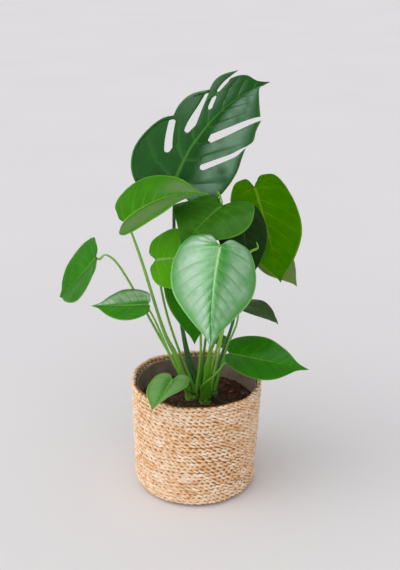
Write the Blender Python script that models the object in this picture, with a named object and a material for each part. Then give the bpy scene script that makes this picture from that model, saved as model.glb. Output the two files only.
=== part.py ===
"""Young potted monstera: split and heart-shaped leaves on petioles that rise from four stem crowns,
rooted in soil inside a plastic liner, which stands in a woven basket. Metres, +Z up, front at -Y."""

from dataclasses import dataclass
from math import cos, pi, radians, sin, tan

import bmesh
import bpy
import numpy as np
from mathutils import Vector

MM = 0.001

# Fits
CLEARANCE = 0.3 * MM  # gap left between two pieces that touch

# Basket
BASKET_HEIGHT = 170 * MM
BASKET_RIM_RADIUS = 95 * MM
BASKET_BASE_RADIUS = 89 * MM
BASKET_WALL = 7 * MM
BASKET_EDGE = 15 * MM  # rounding where the wall turns under
BASKET_SEGMENTS = 56

# Liner
LINER_WALL = 0.9 * MM
LINER_DROP = 9 * MM  # how far its lip stays below the basket's rim

# Soil
SOIL_HEADSPACE = 40 * MM  # from the basket's rim down to the soil
SOIL_SEGMENTS = 48
CHIP_THICKNESS = 2.5 * MM

# Crowns
CROWN_RISE = 8 * MM  # above the soil
CROWN_ROOT = 14 * MM  # below the soil
CROWN_EDGE = 0.5 * MM  # margin round the petiole feet
CROWN_SEGMENTS = 20

# Petioles
FOOT_RADIUS = 2.9 * MM
FOOT_GAP = 0.9 * MM  # between neighbouring feet on a crown
STALK_RADIUS = 1.9 * MM
NECK_RADIUS = 1.4 * MM
NECK_GAP = 0.8 * MM  # from the neck to the blade, which dips a little round its junction
STALK_SIDES = 8
STALK_RINGS = 14

# Leaves
LEAF_THICKNESS = 1.0 * MM
HALF_COLUMNS = 5  # cells from the midrib to the edge
LOBE_ROWS = 3  # fans round the junction
BODY_ROWS = 9  # rows from the junction to the tip
SPLIT_COLUMNS = 14  # the same on the split leaf, which is larger
SPLIT_LOBE_ROWS = 5
SPLIT_BODY_ROWS = 22
SLIT_ROUND = 0.05  # share of the way to the edge over which a slit's end widens

# What the places of the plant are measured from
SOIL_LEVEL = BASKET_HEIGHT - SOIL_HEADSPACE
CROWN_TOP = SOIL_LEVEL + CROWN_RISE
RIM_LEVEL = BASKET_HEIGHT

LEAF_GREEN = (0.035, 0.17, 0.02)
YOUNG_GREEN = (0.12, 0.32, 0.02)
DARK_GREEN = (0.01, 0.07, 0.02)
STALK_GREEN = (0.2, 0.36, 0.07)


@dataclass
class Crown:
    """A short stem at the soil that carries a ring of petiole feet."""

    name: str
    place: tuple  # x, y on the soil, mm
    feet: int

    def ring_radius(self):
        return (2 * FOOT_RADIUS + FOOT_GAP) / (2 * sin(pi / self.feet))

    def radius(self):
        return self.ring_radius() + FOOT_RADIUS + CROWN_EDGE

    def foot(self, angle):
        reach = self.ring_radius()
        return Vector(
            (
                self.place[0] * MM + reach * cos(radians(angle)),
                self.place[1] * MM + reach * sin(radians(angle)),
                CROWN_TOP + CLEARANCE,
            )
        )


@dataclass
class Outline:
    """Half of a blade in its own plane: (along, across, vein root) as shares of length, width, length."""

    strips: tuple  # between one slit and the next, from the basal lobe to the tip
    slits: tuple = ()


@dataclass
class Slit:
    """A line between two strips that tears open along parts of its run from the midrib to the edge."""

    through: tuple  # points on its line, as shares of length and width
    gaps: tuple  # (start, end) as shares of its run, (width at each, mm), open at the edge


@dataclass
class Pose:
    """Angles of a midrib in degrees: heading seen from above, 0 along +X; pitch up; roll about itself."""

    heading: float
    pitch: float
    roll: float


@dataclass
class Section:
    """A blade across its midrib, in degrees: how far each half is raised, and turns further by its edge."""

    fold: float
    curl: float


@dataclass
class Leaf:
    """A blade and how it hangs, sizes in mm."""

    name: str
    junction: tuple  # x, y, and height over the level it is measured from
    pose: Pose  # at the junction
    gain: Pose  # what the pose gains from the junction to the tip
    section: Section
    length: float
    half_width: float
    outline: tuple  # left half, right half
    colour: tuple = LEAF_GREEN
    level: float = SOIL_LEVEL

    def origin(self):
        x, y, up = self.junction
        return np.array((x * MM, y * MM, self.level + up * MM))


@dataclass
class Petiole:
    """A leaf stalk from a foot on a crown, through points in space, to the underside of a blade."""

    crown: Crown
    foot_angle: float
    through: tuple  # x, y, height over the soil, mm
    side: int = -1  # -1 meets the blade from below, 1 from above


def heart(lobe, widest, drip):
    """A heart-shaped half: lobe is its reach past the junction, widest its place, drip its tip's length."""
    strip = (
        (-0.02, 0.05, 0.0),
        (-0.8 * lobe - 0.02, 0.2, 0.0),
        (-lobe, 0.42, 0.0),
        (-0.7 * lobe, 0.73, 0.0),
        (0.3 * widest, 0.95, 0.0),
        (widest, 1.0, 0.07),
        (widest + 0.22, 0.86, 0.22),
        (widest + 0.45, 0.48, 0.48),
        (1 - drip, 0.13, 0.8),
        (1.0, 0.0, 1.0),
    )
    return Outline(strips=(strip,))


SPLIT_LEFT = Outline(
    strips=(
        (
            (-0.02, 0.06, 0.0),
            (-0.13, 0.4, 0.0),
            (-0.11, 0.66, 0.0),
            (-0.03, 0.88, 0.0),
            (0.08, 0.97, 0.0),
            (0.2, 0.9, 0.0),
            (0.3, 0.77, 0.04),
            (0.35, 0.62, 0.09),
        ),
        (
            (0.35, 0.62, 0.09),
            (0.43, 0.67, 0.13),
            (0.52, 0.63, 0.17),
            (0.62, 0.45, 0.24),
        ),
        (
            (0.62, 0.45, 0.24),
            (0.68, 0.54, 0.3),
            (0.75, 0.55, 0.36),
            (0.85, 0.47, 0.43),
        ),
        (
            (0.77, 0.4, 0.43),
            (0.83, 0.37, 0.55),
            (0.88, 0.29, 0.7),
            (0.91, 0.13, 0.85),
            (0.95, 0.05, 0.93),
            (1.0, 0.0, 1.0),
        ),
    ),
    slits=(
        Slit(((0.14, 0.31), (0.33, 0.59)), (((0.36, 0.93), (12, 9), False),)),
        Slit(((0.29, 0.18), (0.5, 0.32)), (((0.25, 0.93), (14, 7), False),)),
        Slit(((0.53, 0.19), (0.66, 0.34)), (((0.25, 0.52), (6, 5), False), ((0.58, 1.0), (4, 6), True))),
    ),
)
SPLIT_RIGHT = Outline(
    strips=(
        (
            (-0.02, 0.06, 0.0),
            (-0.12, 0.4, 0.0),
            (-0.1, 0.7, 0.0),
            (0.01, 0.9, 0.0),
            (0.19, 0.99, 0.0),
            (0.32, 0.97, 0.02),
            (0.43, 0.89, 0.05),
            (0.52, 0.82, 0.09),
        ),
        (
            (0.54, 0.81, 0.09),
            (0.62, 0.82, 0.15),
            (0.7, 0.7, 0.23),
            (0.79, 0.59, 0.32),
        ),
        (
            (0.8, 0.52, 0.32),
            (0.85, 0.26, 0.55),
            (0.895, 0.05, 0.85),
            (0.94, 0.025, 0.93),
            (1.0, 0.0, 1.0),
        ),
    ),
    slits=(
        Slit(((0.13, 0.3), (0.35, 0.69)), (((0.25, 1.0), (9, 5), True),)),
        Slit(((0.33, 0.15), (0.52, 0.38)), (((0.16, 1.0), (12, 6), True),)),
    ),
)

LEFT_CROWN = Crown("crown_left", (-8, 2), 6)
FRONT_CROWN = Crown("crown_front", (12, -12), 4)
RIGHT_CROWN = Crown("crown_right", (23, 10), 3)
BACK_CROWN = Crown("crown_back", (4, 31), 4)
CROWNS = (LEFT_CROWN, FRONT_CROWN, RIGHT_CROWN, BACK_CROWN)

BROAD = heart(lobe=0.12, widest=0.27, drip=0.1)
DEEP = heart(lobe=0.19, widest=0.24, drip=0.08)
OVAL = heart(lobe=0.04, widest=0.24, drip=0.15)
LONG = heart(lobe=0.1, widest=0.33, drip=0.08)

PLANT = (
    (
        Leaf(
            "split_top",
            junction=(-31, 39, 323),
            pose=Pose(heading=32, pitch=65, roll=52),
            gain=Pose(heading=2, pitch=-57, roll=2),
            section=Section(fold=-10, curl=-8),
            length=210,
            half_width=76,
            outline=(SPLIT_LEFT, SPLIT_RIGHT),
            colour=DARK_GREEN,
        ),
        Petiole(BACK_CROWN, 180, ((-16, 36, 62), (-30, 40, 160), (-33, 46, 255))),
    ),
    (
        Leaf(
            "arched_left",
            junction=(-98, -20, 281),
            pose=Pose(heading=-7, pitch=46, roll=21),
            gain=Pose(heading=5, pitch=-54, roll=0),
            section=Section(fold=22, curl=-26),
            length=128,
            half_width=55,
            outline=(OVAL, OVAL),
            colour=YOUNG_GREEN,
        ),
        Petiole(LEFT_CROWN, 180, ((-32, -4, 74), (-48, -12, 117), (-76, -18, 222))),
    ),
    (
        Leaf(
            "hanging_left",
            junction=(-140, -12, 226),
            pose=Pose(heading=151, pitch=-50, roll=-41),
            gain=Pose(heading=-12, pitch=7, roll=-21),
            section=Section(fold=18, curl=-24),
            length=104,
            half_width=45,
            outline=(LONG, LONG),
        ),
        Petiole(LEFT_CROWN, 120, ((-32, 8, 54), (-50, 8, 89), (-102, -6, 201), (-124, -10, 229))),
    ),
    (
        Leaf(
            "pointing_left",
            junction=(-68, -40, 168),
            pose=Pose(heading=179, pitch=-5, roll=-9),
            gain=Pose(heading=-12, pitch=1, roll=-30),
            section=Section(fold=7, curl=-6),
            length=80,
            half_width=34,
            outline=(OVAL, OVAL),
        ),
        Petiole(LEFT_CROWN, 240, ((-36, -20, 75), (-58, -34, 140))),
    ),
    (
        Leaf(
            "small_left",
            junction=(-57, -15, 224),
            pose=Pose(heading=-30, pitch=17, roll=66),
            gain=Pose(heading=-23, pitch=-11, roll=37),
            section=Section(fold=-6, curl=-18),
            length=93,
            half_width=43,
            outline=(BROAD, BROAD),
            colour=YOUNG_GREEN,
        ),
        Petiole(LEFT_CROWN, 60, ((-37, 10, 108), (-51, 6, 173))),
    ),
    (
        Leaf(
            "heart_front",
            junction=(29, -92, 271),
            pose=Pose(heading=-102, pitch=-34, roll=-15),
            gain=Pose(heading=12, pitch=-12, roll=13),
            section=Section(fold=-9, curl=-24),
            length=145,
            half_width=60,
            outline=(BROAD, BROAD),
        ),
        Petiole(FRONT_CROWN, 270, ((15, -30, 63), (19, -39, 103), (27, -66, 202))),
    ),
    (
        Leaf(
            "under_front",
            junction=(-7, 12, 211),
            pose=Pose(heading=-83, pitch=-70, roll=-26),
            gain=Pose(heading=1, pitch=-15, roll=9),
            section=Section(fold=6, curl=-10),
            length=119,
            half_width=48,
            outline=(BROAD, BROAD),
        ),
        Petiole(LEFT_CROWN, 0, ((4, 3, 62), (5, 8, 98), (0, 26, 180))),
    ),
    (
        Leaf(
            "saddle_centre",
            junction=(34, -7, 299),
            pose=Pose(heading=-126, pitch=-11, roll=2),
            gain=Pose(heading=-4, pitch=-23, roll=-34),
            section=Section(fold=15, curl=-35),
            length=96,
            half_width=60,
            outline=(DEEP, DEEP),
            colour=DARK_GREEN,
        ),
        Petiole(BACK_CROWN, 270, ((18, 34, 140), (24, 42, 250), (27, 31, 309), (31, 11, 316)), side=1),
    ),
    (
        Leaf(
            "tall_right",
            junction=(82, 77, 301),
            pose=Pose(heading=-50, pitch=-63, roll=-2),
            gain=Pose(heading=-22, pitch=11, roll=1),
            section=Section(fold=10, curl=-6),
            length=143,
            half_width=60,
            outline=(LONG, LONG),
            colour=YOUNG_GREEN,
        ),
        Petiole(RIGHT_CROWN, 90, ((39, 20, 72), (55, 38, 122), (72, 90, 218), (82, 97, 263))),
    ),
    (
        Leaf(
            "dark_behind",
            junction=(60, 12, 283),
            pose=Pose(heading=-70, pitch=-60, roll=-10),
            gain=Pose(heading=-4, pitch=-8, roll=8),
            section=Section(fold=3, curl=-20),
            length=96,
            half_width=40,
            outline=(BROAD, BROAD),
            colour=DARK_GREEN,
        ),
        Petiole(FRONT_CROWN, 90, ((26, 0, 74), (36, 4, 110), (50, 8, 202))),
    ),
    (
        Leaf(
            "pale_behind",
            junction=(99, 80, 216),
            pose=Pose(heading=-22, pitch=-43, roll=19),
            gain=Pose(heading=0, pitch=-14, roll=21),
            section=Section(fold=-5, curl=-20),
            length=80,
            half_width=34,
            outline=(BROAD, BROAD),
            colour=YOUNG_GREEN,
        ),
        Petiole(BACK_CROWN, 0, ((22, 34, 68), (46, 38, 112), (74, 68, 165))),
    ),
    (
        Leaf(
            "small_right",
            junction=(58, 6, 147),
            pose=Pose(heading=-15, pitch=12, roll=-11),
            gain=Pose(heading=6, pitch=-68, roll=32),
            section=Section(fold=6, curl=-7),
            length=67,
            half_width=28,
            outline=(BROAD, BROAD),
            colour=DARK_GREEN,
        ),
        Petiole(RIGHT_CROWN, 330, ((42, 8, 77), (56, 4, 118))),
    ),
    (
        Leaf(
            "low_right",
            junction=(46, -31, 89),
            pose=Pose(heading=-8, pitch=-9, roll=2),
            gain=Pose(heading=5, pitch=-2, roll=43),
            section=Section(fold=13, curl=-17),
            length=114,
            half_width=47,
            outline=(OVAL, OVAL),
        ),
        Petiole(FRONT_CROWN, 180, ((8, -30, 38), (24, -38, 58), (40, -36, 78))),
    ),
    (
        Leaf(
            "over_rim",
            junction=(-34, -66, 26),
            pose=Pose(heading=-112, pitch=-14, roll=6),
            gain=Pose(heading=-4, pitch=-1, roll=22),
            section=Section(fold=22, curl=-36),
            length=68,
            half_width=31,
            outline=(BROAD, BROAD),
            level=RIM_LEVEL,
        ),
        Petiole(LEFT_CROWN, 300, ((-13, -26, 28), (-26, -52, 52))),
    ),
    (
        Leaf(
            "low_behind",
            junction=(28, 62, 71),
            pose=Pose(heading=-19, pitch=-21, roll=-3),
            gain=Pose(heading=-7, pitch=-19, roll=5),
            section=Section(fold=9, curl=-14),
            length=45,
            half_width=19,
            outline=(BROAD, BROAD),
            colour=YOUNG_GREEN,
        ),
        Petiole(BACK_CROWN, 90, ((16, 54, 40),)),
    ),
)

SPEAR_THROUGH = (
    (28, -16, 70),
    (48, -26, 184),
    (56, -30, 222),
    (71, -34, 242),
    (82, -36, 249),
    (80, -38, 258),
)
CHIPS = (
    ("bark_chip_right", (52, 24), (13, 6), 35),
    ("bark_chip_left", (-44, 30), (10, 6), 110),
    ("bark_chip_front", (24, -42), (9, 5), 160),
)


def material(name, colour, roughness):
    """A Principled material with the given colour and roughness."""
    made = bpy.data.materials.new(name)
    made.use_nodes = True
    shader = made.node_tree.nodes["Principled BSDF"]
    shader.inputs["Base Color"].default_value = (*colour, 1)
    shader.inputs["Roughness"].default_value = roughness
    shader.inputs["Metallic"].default_value = 0
    return made


def add_object(name, vertices, faces, colour, roughness, smooth=True):
    """An object from vertices and faces, with its own material."""
    mesh = bpy.data.meshes.new(name)
    mesh.from_pydata([tuple(v) for v in vertices], [], faces)
    mesh.validate()
    shaped = bmesh.new()
    shaped.from_mesh(mesh)
    bmesh.ops.recalc_face_normals(shaped, faces=shaped.faces)
    shaped.to_mesh(mesh)
    shaped.free()
    mesh.polygons.foreach_set("use_smooth", [smooth] * len(mesh.polygons))
    mesh.materials.append(material(name, colour, roughness))
    made = bpy.data.objects.new(name, mesh)
    bpy.context.scene.collection.objects.link(made)
    return made


def spin(name, profile, segments, colour, roughness, centre=(0, 0)):
    """A turned solid: profile is (radius, height) from the axis at the bottom to the axis at the top."""
    vertices = []
    rings = []
    for radius, height in profile:
        if radius == 0:
            rings.append([len(vertices)] * segments)
            vertices.append((centre[0], centre[1], height))
            continue
        rings.append(list(range(len(vertices), len(vertices) + segments)))
        for step in range(segments):
            turn = 2 * pi * step / segments
            vertices.append((centre[0] + radius * cos(turn), centre[1] + radius * sin(turn), height))
    faces = []
    for low, high in zip(rings, rings[1:]):
        for step in range(segments):
            after = (step + 1) % segments
            corners = (low[step], low[after], high[after], high[step])
            faces.append(tuple(dict.fromkeys(corners)))
    return add_object(name, vertices, faces, colour, roughness)


def spline(points, steps):
    """Points evenly spaced along a smooth curve through the given ones."""
    points = np.array(points, float)
    lengths = np.linalg.norm(np.diff(points, axis=0), axis=1)
    knots = np.concatenate([[0], np.cumsum(lengths)])
    padded = np.vstack([2 * points[0] - points[1], points, 2 * points[-1] - points[-2]])
    found = []
    for place in np.linspace(0, knots[-1], steps):
        i = min(int(np.searchsorted(knots, place, side="right")) - 1, len(points) - 2)
        s = (place - knots[i]) / (knots[i + 1] - knots[i])
        a, b, c, d = padded[i : i + 4]
        square = (2 * a - 5 * b + 4 * c - d) * s**2
        cube = (3 * b - a - 3 * c + d) * s**3
        found.append(0.5 * (2 * b + (c - a) * s + square + cube))
    return np.array(found)


class Surface:
    """The bent, folded surface of one leaf, from its flat plan to its place in space."""

    STATIONS = 60

    def __init__(self, leaf):
        self.leaf = leaf
        self.along = np.linspace(-0.3, 1, self.STATIONS)
        frames = [self.frame(share) for share in self.along]
        self.forward = np.array([f[0] for f in frames])
        self.sideways = np.array([f[1] for f in frames])
        self.normal = np.array([f[2] for f in frames])
        step = (self.along[1] - self.along[0]) * leaf.length * MM
        middles = (self.forward[1:] + self.forward[:-1]) / 2 * step
        self.centre = np.vstack([np.zeros(3), np.cumsum(middles, axis=0)])
        self.centre += leaf.origin() - self.at(self.centre, np.zeros(1))[0]

    def frame(self, share):
        """Forward, sideways and normal of the midrib at a share of the length."""
        leaf = self.leaf
        heading = radians(leaf.pose.heading + leaf.gain.heading * share)
        pitch = radians(leaf.pose.pitch + leaf.gain.pitch * share)
        roll = radians(leaf.pose.roll + leaf.gain.roll * max(share, 0))
        forward = np.array((cos(pitch) * cos(heading), cos(pitch) * sin(heading), sin(pitch)))
        level = np.array((-sin(heading), cos(heading), 0))
        sideways = level * cos(roll) + np.cross(forward, level) * sin(roll)
        return forward, sideways, np.cross(forward, sideways)

    def at(self, values, shares):
        return np.stack([np.interp(shares, self.along, values[:, k]) for k in range(3)], -1)

    def place(self, flat):
        """Points in space of (share along the length, distance across in metres)."""
        flat = np.array(flat, float)
        shares = flat[:, 0]
        reach = np.abs(flat[:, 1])
        start = radians(self.leaf.section.fold)
        rate = radians(self.leaf.section.curl) / (self.leaf.half_width * MM)
        across = (np.sin(start + rate * reach) - sin(start)) / rate
        raised = (cos(start) - np.cos(start + rate * reach)) / rate
        middle = self.at(self.centre, shares)
        return (
            middle
            + self.at(self.sideways, shares) * (np.sign(flat[:, 1]) * across)[:, None]
            + self.at(self.normal, shares) * raised[:, None]
        )


def column_shares(outline, columns):
    """Shares of the way from the midrib to the edge at which the cells end, closer at a slit's round ends."""
    ends = [
        end + sign * step
        for slit in outline.slits
        for gap, _, is_open in slit.gaps
        for end, sign in ((gap[0], 1), (gap[1], -1))[: 1 if is_open else 2]
        for step in (0, SLIT_ROUND / 5, SLIT_ROUND)
    ]
    close = [share for n, share in enumerate(sorted(ends)) if share - [-1, *sorted(ends)][n] > 0.004]
    even = np.linspace(0, 1, columns + 1)
    apart = [share for share in even if all(abs(share - other) > 0.4 / columns for other in close)]
    return np.array(sorted([*close, *apart]))


def opening(slit, run):
    """Half the width of a slit at each share of its run."""
    half = np.zeros_like(run)
    for (start, end), (inner, outer), is_open in slit.gaps:
        share = np.clip((run - start) / (end - start), 0, 1)
        rounded = np.sqrt(np.clip((run - start) / SLIT_ROUND, 0, 1))
        if not is_open:
            rounded *= np.sqrt(np.clip((end - run) / SLIT_ROUND, 0, 1))
        half += rounded * (inner + (outer - inner) * share) * MM / 2
    return half


def slit_line(outline, index, size, run):
    """The middle of a slit from the midrib to the edge, in the flat plan, metres."""
    before = outline.strips[index][-1]
    after = outline.strips[index + 1][0]
    edge = (np.array(before[:2]) + np.array(after[:2])) / 2 * size
    root = np.array((before[2], 0)) * size
    line = spline([root, *(np.array(p) * size for p in outline.slits[index].through), edge], 80)
    even = np.linspace(0, 1, 80)
    return np.stack([np.interp(run, even, line[:, 0]), np.interp(run, even, line[:, 1])], -1)


def strip_edges(strip, roots, lobe_rows):
    """Where each row of a strip meets the edge: (along, across, vein root)."""
    samples = spline(strip, 80)
    first_root = strip[0][2]
    last_root = strip[-1][2]
    lobe = samples[samples[:, 2] <= 0] if first_root == 0 else samples[:1]
    picks = np.linspace(0, len(lobe) - 1, lobe_rows) if len(lobe) > 1 else [0]
    edges = [lobe[int(round(pick))] for pick in picks]
    for root in roots:
        if first_root < root < last_root:
            edges.append(np.array([np.interp(root, samples[:, 2], samples[:, k]) for k in range(3)]))
    return [*edges, samples[-1]]


def half_rows(leaf, outline, roots, columns, lobe_rows):
    """Rows of flat points from the midrib to the edge, one for each root, with two at each slit."""
    size = np.array((leaf.length, leaf.half_width)) * MM
    run = column_shares(outline, columns)
    rows = []
    for index, strip in enumerate(outline.strips):
        edges = strip_edges(strip, roots, lobe_rows)
        lines = []
        for edge in edges:
            start = np.array((max(edge[2], 0), 0)) * size
            lines.append(start + (edge[:2] * size - start) * run[:, None])
        shares = np.linspace(0, 1, len(lines))
        for slit, end, sign in ((index - 1, 0, 1), (index, -1, -1)):
            if not 0 <= slit < len(outline.slits):
                continue
            middle = slit_line(outline, slit, size, run)
            ahead = np.gradient(middle, axis=0)
            aside = np.stack([ahead[:, 1], -ahead[:, 0]], -1)
            aside /= np.linalg.norm(aside, axis=1)[:, None]
            target = middle + aside * (sign * opening(outline.slits[slit], run))[:, None]
            tail = np.clip((run - 0.8) / 0.2, 0, 1)[:, None]
            target += (lines[end][-1] - target[-1]) * tail
            change = target - lines[end]
            for number, share in enumerate(shares):
                near = 1 - share if end == 0 else share
                lines[number] = lines[number] + change * max(0, near * 2 - 1)
        rows.append(lines)
    return rows


def vein_roots(leaf, rows):
    """Where rows start along the midrib: evenly, and where either half has a slit."""
    slit_roots = {strip[-1][2] for half in leaf.outline for strip in half.strips}
    even = {k / rows for k in range(1, rows)}
    clear = {root for root in even if min(abs(root - slit) for slit in slit_roots) > 0.3 / rows}
    return sorted(slit_roots | clear)


def blade(leaf):
    """The solid blade of a leaf."""
    is_split = bool(leaf.outline[0].slits)
    columns = SPLIT_COLUMNS if is_split else HALF_COLUMNS
    lobe_rows = SPLIT_LOBE_ROWS if is_split else LOBE_ROWS
    roots = vein_roots(leaf, SPLIT_BODY_ROWS if is_split else BODY_ROWS)
    flat = []
    found = {}
    faces = []

    def vertex(point, side):
        key = (round(point[0] * 1e6), round(side * point[1] * 1e6))
        if key not in found:
            found[key] = len(flat)
            flat.append((point[0] / (leaf.length * MM), side * point[1]))
        return found[key]

    for outline, side in zip(leaf.outline, (1, -1)):
        for lines in half_rows(leaf, outline, roots, columns, 2 * lobe_rows):
            ids = [[vertex(p, side) for p in line] for line in lines]
            for low, high in zip(ids, ids[1:]):
                for c in range(len(low) - 1):
                    corners = (low[c], low[c + 1], high[c + 1], high[c])
                    corners = tuple(dict.fromkeys(corners if side < 0 else corners[::-1]))
                    if len(corners) > 2:
                        faces.append(corners)
    return thickened(f"blade_{leaf.name}", Surface(leaf).place(flat), faces, leaf.colour)


def thickened(name, points, faces, colour):
    """A closed sheet of the leaf's thickness round the given surface."""
    normals = np.zeros_like(points)
    for face in faces:
        corners = points[list(face)]
        normal = np.cross(corners[1] - corners[0], corners[2] - corners[0])
        if len(face) == 4:
            normal = np.cross(corners[2] - corners[0], corners[3] - corners[1])
        for corner in face:
            normals[corner] += normal
    normals /= np.linalg.norm(normals, axis=1)[:, None]
    count = len(points)
    half = LEAF_THICKNESS / 2
    vertices = np.vstack([points + normals * half, points - normals * half])
    solid = list(faces)
    solid += [tuple(count + c for c in face[::-1]) for face in faces]
    edges = {}
    for face in faces:
        for a, b in zip(face, face[1:] + face[:1]):
            edges[(a, b)] = edges.get((a, b), 0) + 1
    for a, b in edges:
        if (b, a) not in edges:
            solid.append((b, a, count + a, count + b))
    return add_object(name, vertices, solid, colour, 0.35)


def tube(name, path, radii, colour):
    """A closed tube of the given radii along a path, its first end level."""
    forward = np.gradient(path, axis=0)
    forward /= np.linalg.norm(forward, axis=1)[:, None]
    forward[0] = (0, 0, 1)
    aside = np.array((1.0, 0, 0))
    vertices = []
    for centre, ahead, radius in zip(path, forward, radii):
        aside = aside - ahead * aside.dot(ahead)
        aside /= np.linalg.norm(aside)
        across = np.cross(ahead, aside)
        for side in range(STALK_SIDES):
            turn = 2 * pi * side / STALK_SIDES
            vertices.append(centre + (aside * cos(turn) + across * sin(turn)) * radius)
    faces = [tuple(range(STALK_SIDES))[::-1]]
    for ring in range(len(path) - 1):
        for side in range(STALK_SIDES):
            after = (side + 1) % STALK_SIDES
            low = ring * STALK_SIDES
            high = low + STALK_SIDES
            faces.append((low + side, low + after, high + after, high + side))
    faces.append(tuple(range(len(vertices) - STALK_SIDES, len(vertices))))
    return add_object(name, vertices, faces, colour, 0.4)


def stalk_radii(rings):
    """Broad at the sheathed foot, even along the stalk, slightly slimmer at the neck."""
    share = np.linspace(0, 1, rings)
    foot = (FOOT_RADIUS - STALK_RADIUS) * np.clip(1 - share * 3, 0, 1)
    neck = (STALK_RADIUS - NECK_RADIUS) * share**2
    return STALK_RADIUS + foot - neck


def petiole(leaf, stalk):
    """The stalk of a leaf, which stops a clearance short of the crown and of the blade."""
    _, _, normal = Surface(leaf).frame(0)
    away = normal * stalk.side
    slope = tan(radians(max(0, leaf.section.fold * stalk.side)))
    gap = LEAF_THICKNESS / 2 + NECK_GAP + NECK_RADIUS * slope
    end = leaf.origin() + away * gap
    foot = np.array(stalk.crown.foot(stalk.foot_angle))
    via = [np.array((x * MM, y * MM, SOIL_LEVEL + up * MM)) for x, y, up in stalk.through]
    start = foot + np.array((0, 0, 4 * MM))
    knee = end + away * 6 * MM
    path = spline([foot, start, *via, knee, end], STALK_RINGS)
    path[-1] = end
    return tube(f"petiole_{leaf.name}", path, stalk_radii(STALK_RINGS), STALK_GREEN)


def basket():
    """The woven basket as one turned wall, open at the top."""
    slope = (BASKET_RIM_RADIUS - BASKET_BASE_RADIUS) / (BASKET_HEIGHT - BASKET_EDGE)
    lip = BASKET_WALL / 2
    edge = []
    for step in range(7):
        turn = pi / 2 * step / 6
        edge.append(
            (
                BASKET_BASE_RADIUS - BASKET_EDGE * (1 - sin(turn)),
                BASKET_EDGE * (1 - cos(turn)),
            )
        )
    rim = []
    for step in range(7):
        turn = pi * step / 6
        rim.append((BASKET_RIM_RADIUS - lip + lip * cos(turn), BASKET_HEIGHT - lip + lip * sin(turn)))
    inner = inner_radius(BASKET_WALL, slope)
    profile = [(0, 0), *edge, *rim, (inner, BASKET_WALL), (0, BASKET_WALL)]
    return spin("basket", profile, BASKET_SEGMENTS, (0.55, 0.36, 0.18), 0.85)


def inner_radius(height, slope=None):
    """Inner radius of the basket at a height over its floor."""
    if slope is None:
        slope = (BASKET_RIM_RADIUS - BASKET_BASE_RADIUS) / (BASKET_HEIGHT - BASKET_EDGE)
    top = BASKET_RIM_RADIUS - BASKET_WALL
    return top - slope * (BASKET_HEIGHT - BASKET_WALL / 2 - height)


def liner():
    """The thin plastic pot that stands in the basket."""
    gap = CLEARANCE + (BASKET_RIM_RADIUS * (1 - cos(pi / BASKET_SEGMENTS)))
    foot = BASKET_WALL + CLEARANCE
    lip = BASKET_HEIGHT - LINER_DROP
    profile = (
        (0, foot),
        (inner_radius(foot) - gap, foot),
        (inner_radius(lip) - gap, lip),
        (inner_radius(lip) - gap - LINER_WALL, lip),
        (inner_radius(foot + LINER_WALL) - gap - LINER_WALL, foot + LINER_WALL),
        (0, foot + LINER_WALL),
    )
    return spin("liner", profile, BASKET_SEGMENTS, (0.1, 0.085, 0.07), 0.5)


def soil_radius(height):
    """Radius of the soil, a clearance inside the liner."""
    flats = BASKET_RIM_RADIUS * (1 - cos(pi / BASKET_SEGMENTS))
    return inner_radius(height) - 2 * (CLEARANCE + flats) - LINER_WALL


def soil():
    """The root ball, with a socket for each crown."""
    foot = BASKET_WALL + 2 * CLEARANCE + LINER_WALL
    profile = (
        (0, foot),
        (soil_radius(foot), foot),
        (soil_radius(SOIL_LEVEL), SOIL_LEVEL),
        (0, SOIL_LEVEL),
    )
    made = spin("soil", profile, SOIL_SEGMENTS, (0.045, 0.025, 0.015), 0.95)
    for crown in CROWNS:
        radius = (crown.radius() + CLEARANCE) / cos(pi / CROWN_SEGMENTS)
        socket = (
            (0, SOIL_LEVEL - CROWN_ROOT - CLEARANCE),
            (radius, SOIL_LEVEL - CROWN_ROOT - CLEARANCE),
            (radius, SOIL_LEVEL + CROWN_RISE),
            (0, SOIL_LEVEL + CROWN_RISE),
        )
        place = (crown.place[0] * MM, crown.place[1] * MM)
        cutter = spin(f"{crown.name}_socket", socket, CROWN_SEGMENTS, (0.5, 0.5, 0.5), 0.5, place)
        cutter.hide_render = True
        cutter.display_type = "WIRE"
        cut = made.modifiers.new(crown.name, "BOOLEAN")
        cut.operation = "DIFFERENCE"
        cut.solver = "EXACT"
        cut.object = cutter
    return made


def crown_stub(crown):
    """A short stem standing in its socket, level on top under the petiole feet."""
    radius = crown.radius()
    profile = (
        (0, SOIL_LEVEL - CROWN_ROOT),
        (radius * 0.8, SOIL_LEVEL - CROWN_ROOT),
        (radius, SOIL_LEVEL - CROWN_ROOT / 2),
        (radius, CROWN_TOP),
        (0, CROWN_TOP),
    )
    place = (crown.place[0] * MM, crown.place[1] * MM)
    return spin(crown.name, profile, CROWN_SEGMENTS, (0.22, 0.3, 0.08), 0.6, place)


def spear():
    """The youngest leaf, still rolled, with a hooked tip."""
    foot = np.array(FRONT_CROWN.foot(0))
    via = [np.array((x * MM, y * MM, SOIL_LEVEL + up * MM)) for x, y, up in SPEAR_THROUGH]
    path = spline([foot, foot + np.array((0, 0, 4 * MM)), *via], STALK_RINGS + 8)
    share = np.linspace(0, 1, len(path))
    swell = np.interp(share, (0, 0.3, 0.75, 0.88, 1), (FOOT_RADIUS, 1.7 * MM, 1.6 * MM, 2.6 * MM, 0.6 * MM))
    return tube("spear_leaf", path, swell, YOUNG_GREEN)


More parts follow.
